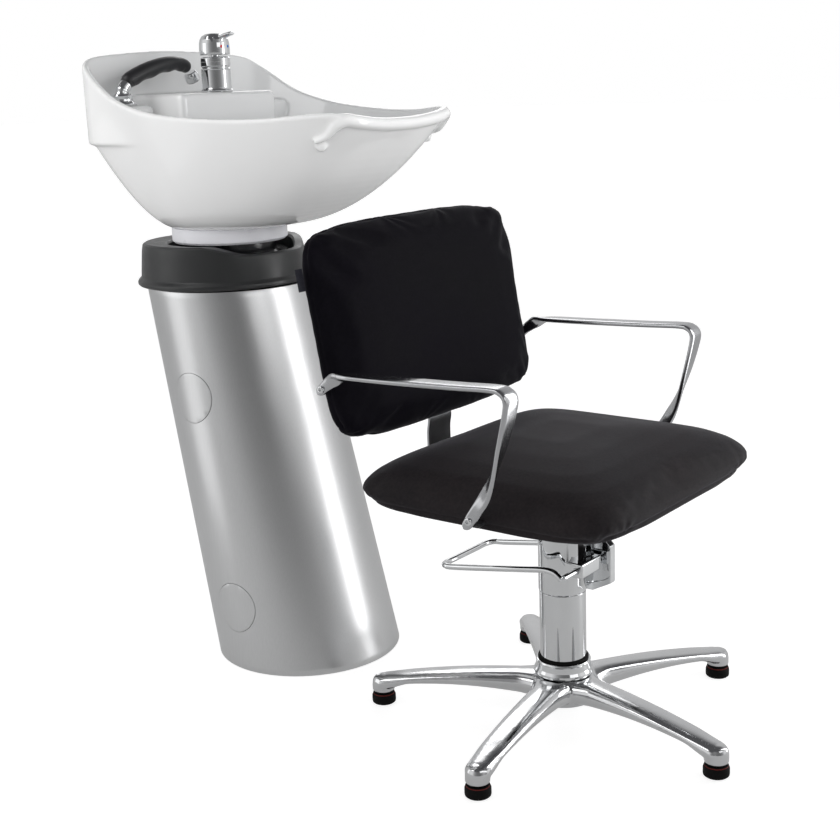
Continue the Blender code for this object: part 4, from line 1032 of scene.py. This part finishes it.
# =============================================================== chair: pump
TUBE_R, RAM_R, HEAD_BOTTOM, HEAD_TOP = 0.0375, 0.014, 0.216, 0.334
BAR_X, BAR_Y, BAR_Z, BAR_R = 0.0735, -0.604, 0.262, 0.0050
COLLAR = [(0.0388, 0.0750), (0.0474, 0.0750), (0.0480, 0.0775), (0.0478, 0.0805),
          (0.0452, 0.0850), (0.0436, 0.0940), (0.0446, 0.0960), (0.0436, 0.0988),
          (0.0388, 0.0990)]
SEAL = [(0.0379, 0.0993), (0.0412, 0.0993), (0.0411, 0.1012), (0.0405, 0.1030),
        (0.0379, 0.1040)]
TUBE = [(0.0355, 0.0748), (TUBE_R, 0.0748), (TUBE_R, HEAD_BOTTOM - 0.0015),
        (0.0355, HEAD_BOTTOM - 0.0015)]
HEAD = [(RAM_R + GAP, HEAD_BOTTOM - 0.0012), (TUBE_R - 0.0004, HEAD_BOTTOM - 0.0012),
        (TUBE_R + 0.0010, HEAD_BOTTOM + 0.0010), (TUBE_R + 0.0010, 0.3180),
        (TUBE_R - 0.003, 0.3210), (TUBE_R - 0.003, 0.3300), (0.0300, HEAD_TOP - GAP),
        (RAM_R + GAP, HEAD_TOP - GAP)]
add("hub_collar", lathe(COLLAR, CHAIR_AXIS, segments=112, corner=0.0008), "chrome")
add("tube_seal", lathe(SEAL, CHAIR_AXIS, segments=96, corner=0.0008), "black_rubber")
add("pump_tube", lathe(TUBE, CHAIR_AXIS, segments=128, corner=0.0008), "chrome")

# head, with a block on its front bored for the axle
head = build("pump_head_skin", lathe(HEAD, CHAIR_AXIS, 112, 0.0009), "chrome")
bake(head)
boolean(head, block((-0.030, BAR_Y - 0.011, BAR_Z - 0.012),
                    (0.030, CHAIR_Y - 0.020, BAR_Z + 0.012), 0.003), "UNION")
boolean(head, rod((-0.05, BAR_Y, BAR_Z), (0.05, BAR_Y, BAR_Z), 0.0053, 32))
shade(head, 30)
place(head, "pump_head")

# faceted cover on the +X side, as (y, z)
COVER = ((-0.626, 0.2240), (-0.592, 0.2060), (-0.545, 0.2060), (-0.535, 0.2220),
         (-0.535, 0.3000), (-0.548, 0.3100), (-0.602, 0.3100), (-0.626, 0.2860))
cover_loops = [[Vector((x, y, z)) for y, z in COVER] for x in (0.0395, 0.0530)]
cover_loops.append([Vector((0.0600, y * 0.90 - 0.0580, z * 0.88 + 0.0318)) for y, z in COVER])
cover = build("pump_cover_skin", skin(cover_loops), "chrome", weighted=False)
bevel_edges(cover, width=0.0014, segments=3, angle=15)
boolean(cover, rod((0.030, BAR_Y, BAR_Z), (0.080, BAR_Y, BAR_Z), 0.0062, 40))
shade(cover, 28)
place(cover, "pump_cover")

# foot bar: a U from the axle's ends towards +Y
half_bar = spline([
    (BAR_X, BAR_Y, BAR_Z), (BAR_X, BAR_Y + 0.014, BAR_Z + 0.0085),
    (BAR_X, BAR_Y + 0.034, BAR_Z + 0.0095), (BAR_X, BAR_Y + 0.080, BAR_Z + 0.002),
    (BAR_X, -0.405, 0.2445), (BAR_X - 0.002, -0.380, 0.2420), (BAR_X - 0.016, -0.371, 0.2410),
    (0.030, -0.371, 0.2410)], 10)


def bar_radius(share):
    return BAR_R * (1 if 0.004 < share < 0.996 else 0.86)


foot_bar = half_bar + [mirrored(p) for p in reversed(half_bar)]
add("pump_bar", swept(foot_bar, bar_radius, 32), "chrome", 40, name="foot_bar_skin")
axle_x = BAR_X - 0.0053
add("bar_axle", rod((-axle_x, BAR_Y, BAR_Z), (axle_x, BAR_Y, BAR_Z), 0.0048, 32), "chrome")
add("ram", rod((*CHAIR_AXIS, 0.1250), (*CHAIR_AXIS, 0.3345), RAM_R - 0.00005, 64), "chrome")

# =============================================================== chair: cushions
SEAT_HALF, SEAT_Y, SEAT_BOTTOM_Z = 0.262, (-0.787, -0.330), 0.3850
SEAT_MID, SEAT_DEEP = (SEAT_Y[0] + SEAT_Y[1]) / 2, (SEAT_Y[1] - SEAT_Y[0]) / 2
BACK_TILT, BACK_FOOT = math.radians(10.5), Vector((0, -0.366, 0.482))
BACK_HALF, BACK_H, BACK_T = 0.264, 0.340, 0.0400
BACK_MID = BACK_H / 2
BACK_UP = Vector((0, math.sin(BACK_TILT), math.cos(BACK_TILT)))
BACK_REAR = Vector((0, math.cos(BACK_TILT), -math.sin(BACK_TILT)))
# farthest the cloth may swell, and its inner pressure
SWELL, PRESSURE, CLOTH_FRAMES = 0.007, 4.0, 20


def on_back(x, up, rear):
    """Point in the tilted frame of the backrest."""
    return BACK_FOOT + X_AXIS * x + BACK_UP * up + BACK_REAR * rear


def back_local(point):
    """(x, height from the middle, depth) in the backrest's frame."""
    d = point - BACK_FOOT
    return d.x, d.dot(BACK_UP) - BACK_MID, d.dot(BACK_REAR)


def get_points(mesh):
    points = np.empty(len(mesh.vertices) * 3)
    mesh.vertices.foreach_get("co", points)
    return points.reshape(-1, 3)


def run_cloth(ob):
    modifier = ob.modifiers.new("cloth", "CLOTH")
    cloth = modifier.settings
    cloth.quality = 6
    cloth.mass = 0.3
    cloth.tension_stiffness = cloth.compression_stiffness = 25
    cloth.shear_stiffness = 12
    cloth.bending_stiffness = 1.5
    cloth.use_pressure = True
    cloth.uniform_pressure_force = PRESSURE
    cloth.effector_weights.gravity = 0
    cloth.vertex_group_mass = "held"
    modifier.point_cache.frame_start = 1
    modifier.point_cache.frame_end = CLOTH_FRAMES
    for frame_number in range(1, CLOTH_FRAMES + 1):
        scene.frame_set(frame_number)
    bake(ob)


def inflate(ob, held):
    """Blow the cushion up as cloth, its held points fixed, and limit how far each point goes."""
    add_remesh(ob, 0.0055)
    bake(ob)
    base = get_points(ob.data)
    group = ob.vertex_groups.new(name="held")
    for i, point in enumerate(base):
        if held(Vector(point)):
            group.add([i], 1.0, "REPLACE")
    run_cloth(ob)
    move = get_points(ob.data) - base
    length = np.linalg.norm(move, axis=1, keepdims=True)
    limit = np.minimum(1.0, SWELL / np.maximum(length, 1e-9))
    points = base + move * limit * (length > 0)
    ob.data.vertices.foreach_set("co", points.ravel())
    ob.data.update()
    scene.frame_set(1)
    add_smooth(ob, 6)
    subdivide = ob.modifiers.new("sub", "SUBSURF")
    subdivide.levels = subdivide.render_levels = 1
    bake(ob)


def move_points(ob, rule):
    points = [rule(v.co.copy()) for v in ob.data.vertices]
    ob.data.vertices.foreach_set("co", [x for point in points for x in point])
    ob.data.update()


def creases(point, corner, axes, reach, depth, count):
    """Small gathered folds fanning out of a corner."""
    d = point - corner
    x, y = d.dot(axes[0]), d.dot(axes[1])
    r = math.hypot(x, y)
    if r > reach:
        return 0.0
    return (-depth * (0.5 + 0.5 * math.cos(math.atan2(y, x) * count))
            * smooth01(r, 0.004, 0.016) * (1 - smooth01(r, reach * 0.35, reach)))


def drawn_in(amount, along, half, across, start, end):
    """Pull on an edge, strongest midway between its corners and signed like across."""
    pull = (amount * math.cos(math.pi * 0.5 * min(abs(along) / half, 1))
            * smooth01(abs(across), start, end))
    return math.copysign(pull, across)


# seat: (height, half width, half depth)
SEAT_ROWS = [(height, SEAT_HALF + wide, SEAT_DEEP + deep) for height, wide, deep in (
    (0.0006, -0.060, -0.060), (0.0006, -0.026, -0.026), (0.0060, -0.010, -0.010),
    (0.0140, -0.001, -0.001), (0.0240, 0.002, 0.003), (0.0360, -0.004, -0.003),
    (0.0480, -0.018, -0.018), (0.0600, -0.044, -0.044), (0.0710, -0.084, -0.080),
    (0.0795, -0.138, -0.126), (0.0850, -0.200, -0.180))]
CORNERS = [(sx, sy) for sx in (-1, 1) for sy in (-1, 1)]


def seat_rule(p):
    x, y, z = p.x, p.y - SEAT_MID, p.z - SEAT_BOTTOM_Z
    p.x -= drawn_in(0.0035, y, SEAT_DEEP, x, 0.20, 0.26)
    p.y -= drawn_in(0.0030, x, SEAT_HALF, y, 0.17, 0.23)
    # sewn line low on the sides, and folds at the corners
    rim = max(abs(x) / SEAT_HALF, abs(y) / SEAT_DEEP)
    groove = math.exp(-((z - 0.0135) / 0.0022) ** 2) * smooth01(rim, 0.86, 0.94)
    out = Vector((x / SEAT_HALF ** 2 * abs(x / SEAT_HALF) ** 3,
                  y / SEAT_DEEP ** 2 * abs(y / SEAT_DEEP) ** 3, 0))
    if out.length > 1e-6:
        out.normalize()
        p -= out * (0.0016 * groove)
        for sx, sy in CORNERS:
            corner = Vector((sx * (SEAT_HALF - 0.022), SEAT_MID + sy * (SEAT_DEEP - 0.022),
                             SEAT_BOTTOM_Z + 0.004))
            axes = Vector((sx, -sy, 0)).normalized(), Z_AXIS
            p += out * creases(p, corner, axes, reach=0.050, depth=0.0013, count=9)
    # rear corners drawn out to soft points, front ones pulled in
    near = (min(abs(x) / SEAT_HALF, 1) * min(abs(y) / SEAT_DEEP, 1)) ** 5
    p.x += math.copysign((0.012 if y > 0 else -0.004) * near, x)
    p.y += math.copysign((0.010 if y > 0 else -0.006) * near, y)
    # kept narrower beside the arms
    limit = SEAT_HALF + (0.0045 if -0.69 < p.y < -0.52 else 0.013)
    p.x = max(-limit, min(limit, p.x))
    return p


seat = build("seat_cover", pillow(SEAT_ROWS, 96, Vector((0, SEAT_MID, SEAT_BOTTOM_Z)),
                                  (X_AXIS, Y_AXIS, Z_AXIS), 6.8), "upholstery", None, False)
inflate(seat, lambda p: p.z < SEAT_BOTTOM_Z + 0.004)
move_points(seat, seat_rule)
shade(seat, None, False)
place(seat, "seat_cushion")
# the seat takes the copy of the cloth painted lighter for the light falling on its top
seat.data.materials[0] = MAT["seat_cloth_painted_lit"]

# backrest front, wrapped round the board: (depth, half width, half height)
BACK_ROWS = [(depth, BACK_HALF + wide, BACK_MID + high) for depth, wide, high in (
    (0.0010, -0.150, -0.120), (0.0020, -0.095, -0.080), (0.0050, -0.052, -0.047),
    (0.0095, -0.026, -0.024), (0.0150, -0.011, -0.010), (0.0230, -0.002, -0.002),
    (0.0310, 0.001, 0.001), (0.0400, -0.001, -0.001), (0.0470, -0.004, -0.004),
    (0.0497, -0.009, -0.009), (0.0497, -0.060, -0.060))]
BACK_AXES = (X_AXIS, BACK_UP, BACK_REAR)
REAR_FLAT = 0.0499                      # depth where the front cushion is cut off flat


def back_rule(p):
    x, up, depth = back_local(p)
    p.x -= drawn_in(0.0030, up, BACK_MID, x, 0.20, 0.26)
    p -= BACK_UP * drawn_in(0.0025, x, BACK_HALF, up, 0.12, 0.165)
    out = (X_AXIS * (x / BACK_HALF * abs(x / BACK_HALF) ** 3)
           + BACK_UP * (up / BACK_MID * abs(up / BACK_MID) ** 3))
    if out.length > 1e-5:
        out.normalize()
        for sx, sy in CORNERS:
            corner = on_back(sx * (BACK_HALF - 0.020), BACK_MID + sy * (BACK_MID - 0.020), 0.034)
            axes = (X_AXIS * sx - BACK_UP * sy).normalized(), BACK_REAR
            p += out * creases(p, corner, axes, reach=0.055,
                               depth=0.0018 if sy < 0 else 0.0010, count=8)
        # seam behind the rounded front edge
        rim = max(abs(x) / BACK_HALF, abs(up) / BACK_MID)
        p -= out * (0.0018 * math.exp(-((depth - 0.0345) / 0.0024) ** 2)
                    * smooth01(rim, 0.88, 0.95))
    depth = (p - BACK_FOOT).dot(BACK_REAR)
    if depth > REAR_FLAT:
        p -= BACK_REAR * (depth - REAR_FLAT)
    # top and bottom edges bow outwards between rounder corners
    bow = 0.0055 - 0.0150 * min(abs(x) / BACK_HALF, 1) ** 3
    p += BACK_UP * math.copysign(bow * smooth01(abs(up) / BACK_MID, 0.35, 1.0), up)
    p.x *= 1.014
    # kept narrower beside the arms
    limit = BACK_HALF + (0.0045 if 0.546 < p.z < 0.612 else 0.0075)
    p.x = max(-limit, min(limit, p.x))
    return p


def slab_points(half, low, high, corner, steps=10):
    """Outline of a rounded rectangle, as (x, height)."""
    left, right, bottom, top = -half + corner, half - corner, low + corner, high - corner
    points = []
    for x, up, start in ((right, top, 0), (left, top, 90), (left, bottom, 180),
                         (right, bottom, 270)):
        for j in range(steps):
            a = math.radians(start + 90 * j / (steps - 1))
            points.append((x + corner * math.cos(a), up + corner * math.sin(a)))
    return points


back = build("back_cover_front", pillow(BACK_ROWS, 96, on_back(0, BACK_MID, 0), BACK_AXES, 6.2),
             "upholstery", None, False)
inflate(back, lambda p: (p - BACK_FOOT).dot(BACK_REAR) > 0.0455)
move_points(back, back_rule)
# pocket for the board
pocket_outline = slab_points(BACK_HALF - 0.0155, 0.0135, BACK_H - 0.0115, 0.045)
boolean(back, skin([[on_back(x, up, depth) for x, up in pocket_outline]
                    for depth in (BACK_T, 0.0560)]))
shade(back, 50, False)
place(back, "back_cushion")

# flatter cover behind: (depth, half width, half height)
REAR_ROWS = [(depth, BACK_HALF - wide, BACK_MID - high) for depth, wide, high in (
    (0.0502, 0.018, 0.016), (0.0512, 0.0145, 0.0125), (0.0535, 0.0142, 0.0120),
    (0.0560, 0.0160, 0.0140), (0.0585, 0.0230, 0.0210), (0.0602, 0.0400, 0.0380),
    (0.0612, 0.0800, 0.0700), (0.0617, 0.150, 0.120))]


def rear_rule(p):
    """Sew a seam a finger's width in from the edge."""
    x, up, depth = back_local(p)
    if depth > 0.056:
        inset = min(BACK_HALF - 0.014 - abs(x), BACK_MID - 0.012 - abs(up))
        p -= BACK_REAR * (0.0012 * math.exp(-((inset - 0.022) / 0.0030) ** 2))
    return p


rear = build("back_cover_rear", pillow(REAR_ROWS, 144, on_back(0, BACK_MID, 0), BACK_AXES, 5.6),
             "upholstery", None, False)
add_remesh(rear, 0.0035, smooth_shade=False)
add_smooth(rear, 5)
bake(rear)
move_points(rear, rear_rule)
shade(rear, None, False)
place(rear, "back_panel")
# the board's edge is wrapped in the same cloth
NODES["back_board"].data.materials[0] = MAT["upholstery"]

# fabric tag standing out of the -X side
TAG_UP, TAG_HEIGHT, TAG_REACH, TAG_THICK = 0.246, 0.034, 0.0148, 0.0010
TAG_SECTION = ((0, 0), (0.5, -0.2), (1, 0), (1, 1), (0.5, 0.8), (0, 1))     # (height, depth)
tag_loops = []
for j in range(9):
    f = j / 8
    curl = 0.0007 * math.sin(math.pi * f)
    tag_loops.append([on_back(-BACK_HALF - 0.0010 - TAG_REACH * f, TAG_UP + TAG_HEIGHT * up,
                              0.0402 + curl + TAG_THICK * depth) for up, depth in TAG_SECTION])
add("back_tag", skin(tag_loops), "tag_fabric", 40, False, name="tag_skin")

# =============================================================== chair: metal bars
# flat bar from under the seat up the back: (y, z), then heights on the backrest
STRAP = ((-0.620, 0.3720), (-0.350, 0.3720), (-0.335, 0.3730), (-0.3265, 0.3780),
         (-0.3230, 0.3880), (-0.3215, 0.4100), (-0.3210, 0.4500))
strap = [Vector((0, y, z)) for y, z in STRAP]
strap += [on_back(0, up, BACK_T + 0.0006 + 0.0026) for up in (-0.002, 0.018, 0.08, 0.250)]
back_bar = add("back_bar", flat_bar([strap[0]] + spline(strap[1:], 8), X_AXIS, 0.030, 0.0025),
               "arm_aluminium", 40)
# the bar takes the darker copy of the arms' metal: painted shade for its place under the seat
back_bar.data.materials[0] = MAT["back_bar_satin_painted_shade"]

ARM_X, ARM_W, ARM_T = 0.2740, 0.033, 0.009
# centre line from the backrest forward and down to the seat:
# (y, z, twist: 0 lies flat, 1 stands on edge)
ARM = [
    (-0.3040, 0.5635, 1.0), (-0.3140, 0.5725, 1.0), (-0.3240, 0.5805, 1.0),
    (-0.3360, 0.5880, 0.65), (-0.3500, 0.5935, 0.2), (-0.3660, 0.5960, 0.0),
    (-0.4500, 0.5985, 0.0), (-0.5600, 0.6025, 0.0), (-0.6260, 0.6055, 0.0),
    (-0.6440, 0.6025, 0.0), (-0.6520, 0.5925, 0.0), (-0.6500, 0.5735, 0.0),
    (-0.6370, 0.5258, 0.05), (-0.6210, 0.4793, 0.35), (-0.6050, 0.4464, 0.75),
    (-0.5880, 0.4213, 1.0), (-0.5760, 0.4048, 1.0), (-0.5700, 0.3960, 1.0)]
# (share of the length, share of ARM_W)
ARM_WIDTH = ((0.0, 0.44), (0.020, 0.48), (0.050, 0.58), (0.085, 0.76), (0.14, 1.0),
             (0.62, 1.0), (0.74, 0.90), (0.86, 0.74), (0.955, 0.56), (1.0, 0.44))
ARM_SCREWS = (("front", -0.5790, 0.4090), ("rear", -0.3135, 0.5720))        # (name, y, z)
# bracket from under the seat to the arm, before its end at the arm: (x, z)
BRACKET = ((0.045, 0.3718), (0.168, 0.3718), (0.182, 0.3750), (0.228, 0.3965), (0.240, 0.4000))
BRACKET_Y = -0.5775


def width_share(share):
    for (start, before), (end, after) in zip(ARM_WIDTH, ARM_WIDTH[1:]):
        if share <= end:
            return before + (after - before) * smooth01(share, start, end)
    return ARM_WIDTH[-1][1]


arm_path = spline([(0, y, z) for y, z, _ in ARM], 10)
arm_twist = [here[2] + (after[2] - here[2]) * i / 10
             for here, after in zip(ARM, ARM[1:]) for i in range(10)]
arm_twist.append(ARM[-1][2])
for _ in range(40):
    middle = [(a + 2 * b + c) / 4 for a, b, c in zip(arm_twist, arm_twist[1:], arm_twist[2:])]
    arm_twist = [arm_twist[0]] + middle + [arm_twist[-1]]
arm_run = [0.0]                         # length covered at each point
for here, after in zip(arm_path, arm_path[1:]):
    arm_run.append(arm_run[-1] + (after - here).length)


def arm_solid(side):
    """A twisted flat bar, narrowing to rounded ends."""
    loops = []
    for (_, point, direction), twist, run in zip(along_path(arm_path), arm_twist, arm_run):
        turn = max(0.0, min(1.0, twist)) * math.pi / 2
        wide = (X_AXIS * math.cos(turn)
                + Vector((0, -direction.z, direction.y)) * math.sin(turn))
        thick = direction.cross(wide)
        near = min(run, arm_run[-1] - run)
        half = ARM_W / 2 * width_share(run / arm_run[-1])
        if near < half:
            half = max(half * math.sqrt(max(1 - (1 - near / half) ** 2, 0.0)), half * 0.30)
        half_thick = ARM_T / 2 * (0.94 if near > 0.0015 else 0.80)
        centre = Vector((side * ARM_X, point.y, point.z))
        loops.append([centre + wide * (half * signed_power(math.cos(a), 0.5))
                      + thick * (half_thick * signed_power(math.sin(a), 0.6))
                      for a in angles(40)])
    return skin(loops)


for side, hand in ((-1, "right"), (1, "left")):
    add("arm_" + hand, arm_solid(side), "arm_aluminium", 50, False)
    outer_x = ARM_X + ARM_T / 2 + GAP
    for end, y, z in ARM_SCREWS:
        node = "arm_screw_%s_%s" % (end, hand)
        start = Vector((side * (outer_x - 0.001), y, z))
        tip = Vector((side * (outer_x + 0.0032), y, z))
        add(node, button(start, tip, 0.0062, 48, 0.0031), "chrome", 40, name=node + "_head")
    bracket = BRACKET + ((ARM_X - ARM_T / 2 - GAP, 0.4000),)
    bracket_path = spline([(side * x, BRACKET_Y, z) for x, z in bracket], 6)
    add("arm_bracket_" + hand, flat_bar(bracket_path, Y_AXIS, 0.0119, 0.0021), "black_paint", 40)

# =============================================================== floor and camera
# pieces kept out of mirror reflections; a CAD object may bear a different name from its node
for name in ("back_board", "seat_board", "seat_mount", "back_bar_skin"):
    if name in bpy.data.objects:
        bpy.data.objects[name].visible_glossy = False

FLOOR_HALF, FLOOR_DROP = 40, -0.0004
floor_mesh = bpy.data.meshes.new("floor")
floor_mesh.from_pydata([(x * FLOOR_HALF, y * FLOOR_HALF, FLOOR_DROP)
                        for x, y in ((-1, -1), (1, -1), (1, 1), (-1, 1))], [], [(0, 1, 2, 3)])
floor = bpy.data.objects.new("floor", floor_mesh)
scene.collection.objects.link(floor)
# pale floor that glows more for the camera than for other rays
pale = surface("floor_pale", (0.42, 0.42, 0.42), 0.60, vary=0.008, vary_scale=0.8,
               rough_vary=0.03, grain=0.0, Specular_IOR_Level=0.2)
seen = pale.new("ShaderNodeLightPath").outputs["Is Camera Ray"]
pale.set(Emission_Strength=pale.span(seen, low=0.22, high=0.80, start=0.0, end=1.0),
         Emission_Color=(1, 1, 1, 1))
floor_mesh.materials.append(MAT["floor_pale"])

CAMERA_AT = Vector((-1.78712717, -1.67898728, 1.01792498))
CAMERA_FORWARD = Vector((0.76505369, 0.59812707, -0.23861445))
CAMERA_RIGHT = Vector((0.60861575, -0.79266664, -0.03558731))
CAMERA_UP = Vector((0.21042745, 0.11799831, 0.9704621))
camera_data = bpy.data.cameras.new("camera")
camera_data.lens, camera_data.sensor_width = 59.3646, 36.0
camera_data.clip_start, camera_data.clip_end = 0.05, 200.0
camera = bpy.data.objects.new("camera", camera_data)
pose = Matrix((CAMERA_RIGHT, CAMERA_UP, -CAMERA_FORWARD)).transposed().to_4x4()
pose.translation = CAMERA_AT
camera.matrix_world = pose
scene.collection.objects.link(camera)
scene.camera = camera

# =============================================================== world and lamps
CAMERA_SIDE = math.radians(-141.4)      # bearing of the camera from the product
# brightness seen in reflections, by bearing in degrees from the camera's side
SURROUND = ((-180, 0.80), (-130, 0.55), (-100, 0.85), (-78, 1.30), (-58, 1.10), (-36, 0.45),
            (-10, 0.20), (18, 0.20), (40, 0.30), (56, 0.62), (76, 1.30), (96, 1.05),
            (130, 0.60), (180, 0.80))


def make_world():
    """Bright panels either side of the camera, darker behind it, and a white backdrop."""
    world = bpy.data.worlds.new("studio")
    scene.world = world
    world.use_nodes = True
    world.node_tree.nodes.clear()
    w = Graph(world.node_tree)
    axes = w.split(w.new("ShaderNodeTexCoord").outputs["Generated"])
    bearing = w.calc("SUBTRACT", w.calc("ARCTAN2", axes["Y"], axes["X"]), CAMERA_SIDE)
    turn = w.calc("DIVIDE", w.calc("WRAP", bearing, math.pi, -math.pi), 2 * math.pi)
    stops = [(degrees / 360 + 0.5, (v, v, v * 1.005)) for degrees, v in SURROUND]
    panels = w.ramp(w.calc("ADD", turn, 0.5), stops, "B_SPLINE")
    # dim ceiling
    overhead = w.new("ShaderNodeMapRange", interpolation_type="SMOOTHSTEP", From_Min=0.50,
                     From_Max=0.82, Value=axes["Z"]).outputs["Result"]
    mirrored_room = w.new("ShaderNodeMixRGB", Fac=overhead, Color1=panels,
                          Color2=(0.12, 0.12, 0.125, 1)).outputs["Color"]
    # what matt surfaces gather: bright up to eye level, falling off overhead
    height = w.calc("ADD", w.calc("MULTIPLY", axes["Z"], 0.5), 0.5)
    matt_room = w.ramp(height, [(0.50, (3.1,) * 3), (0.80, (0.30,) * 3)], "EASE")
    diffuse_ray = w.new("ShaderNodeLightPath").outputs["Is Diffuse Ray"]
    room = w.new("ShaderNodeMixRGB", Fac=diffuse_ray, Color1=mirrored_room, Color2=matt_room)
    lit = w.new("ShaderNodeBackground", Color=room.outputs["Color"], Strength=0.80)
    backdrop = w.new("ShaderNodeBackground", Color=(1, 1, 1, 1), Strength=1.0)
    camera_ray = w.new("ShaderNodeLightPath").outputs["Is Camera Ray"]
    w.new("ShaderNodeOutputWorld",
          Surface=w.mix_shaders(camera_ray, lit.outputs[0], backdrop.outputs[0]))


def lamp(name, at, target, size, power):
    light = bpy.data.lights.new(name, "AREA")
    light.shape, light.energy = "RECTANGLE", power
    light.size, light.size_y = size
    ob = bpy.data.objects.new(name, light)
    ob.location = at
    ob.rotation_euler = (Vector(target) - Vector(at)).to_track_quat("-Z", "Y").to_euler()
    scene.collection.objects.link(ob)
    ob.visible_camera = False


make_world()
COLUMN_MID, PRODUCT_MID = (0, 0.08, 0.45), (0, -0.2, 0.7)
lamp("strip_left", at=(-0.98, 0.84, 0.55), target=COLUMN_MID, size=(0.60, 1.5), power=1.5)
lamp("strip_right", at=(0.66, -1.22, 0.62), target=COLUMN_MID, size=(0.30, 1.7), power=5.5)
lamp("key", at=(-1.6, 0.6, 2.6), target=PRODUCT_MID, size=(1.4, 1.0), power=9)
lamp("fill", at=(-0.6, -3.0, 1.9), target=(0, -0.4, 0.5), size=(1.6, 1.2), power=6)
lamp("rim", at=(2.2, 1.4, 2.2), target=PRODUCT_MID, size=(1.2, 1.4), power=8)
scene.view_settings.view_transform = "Standard"
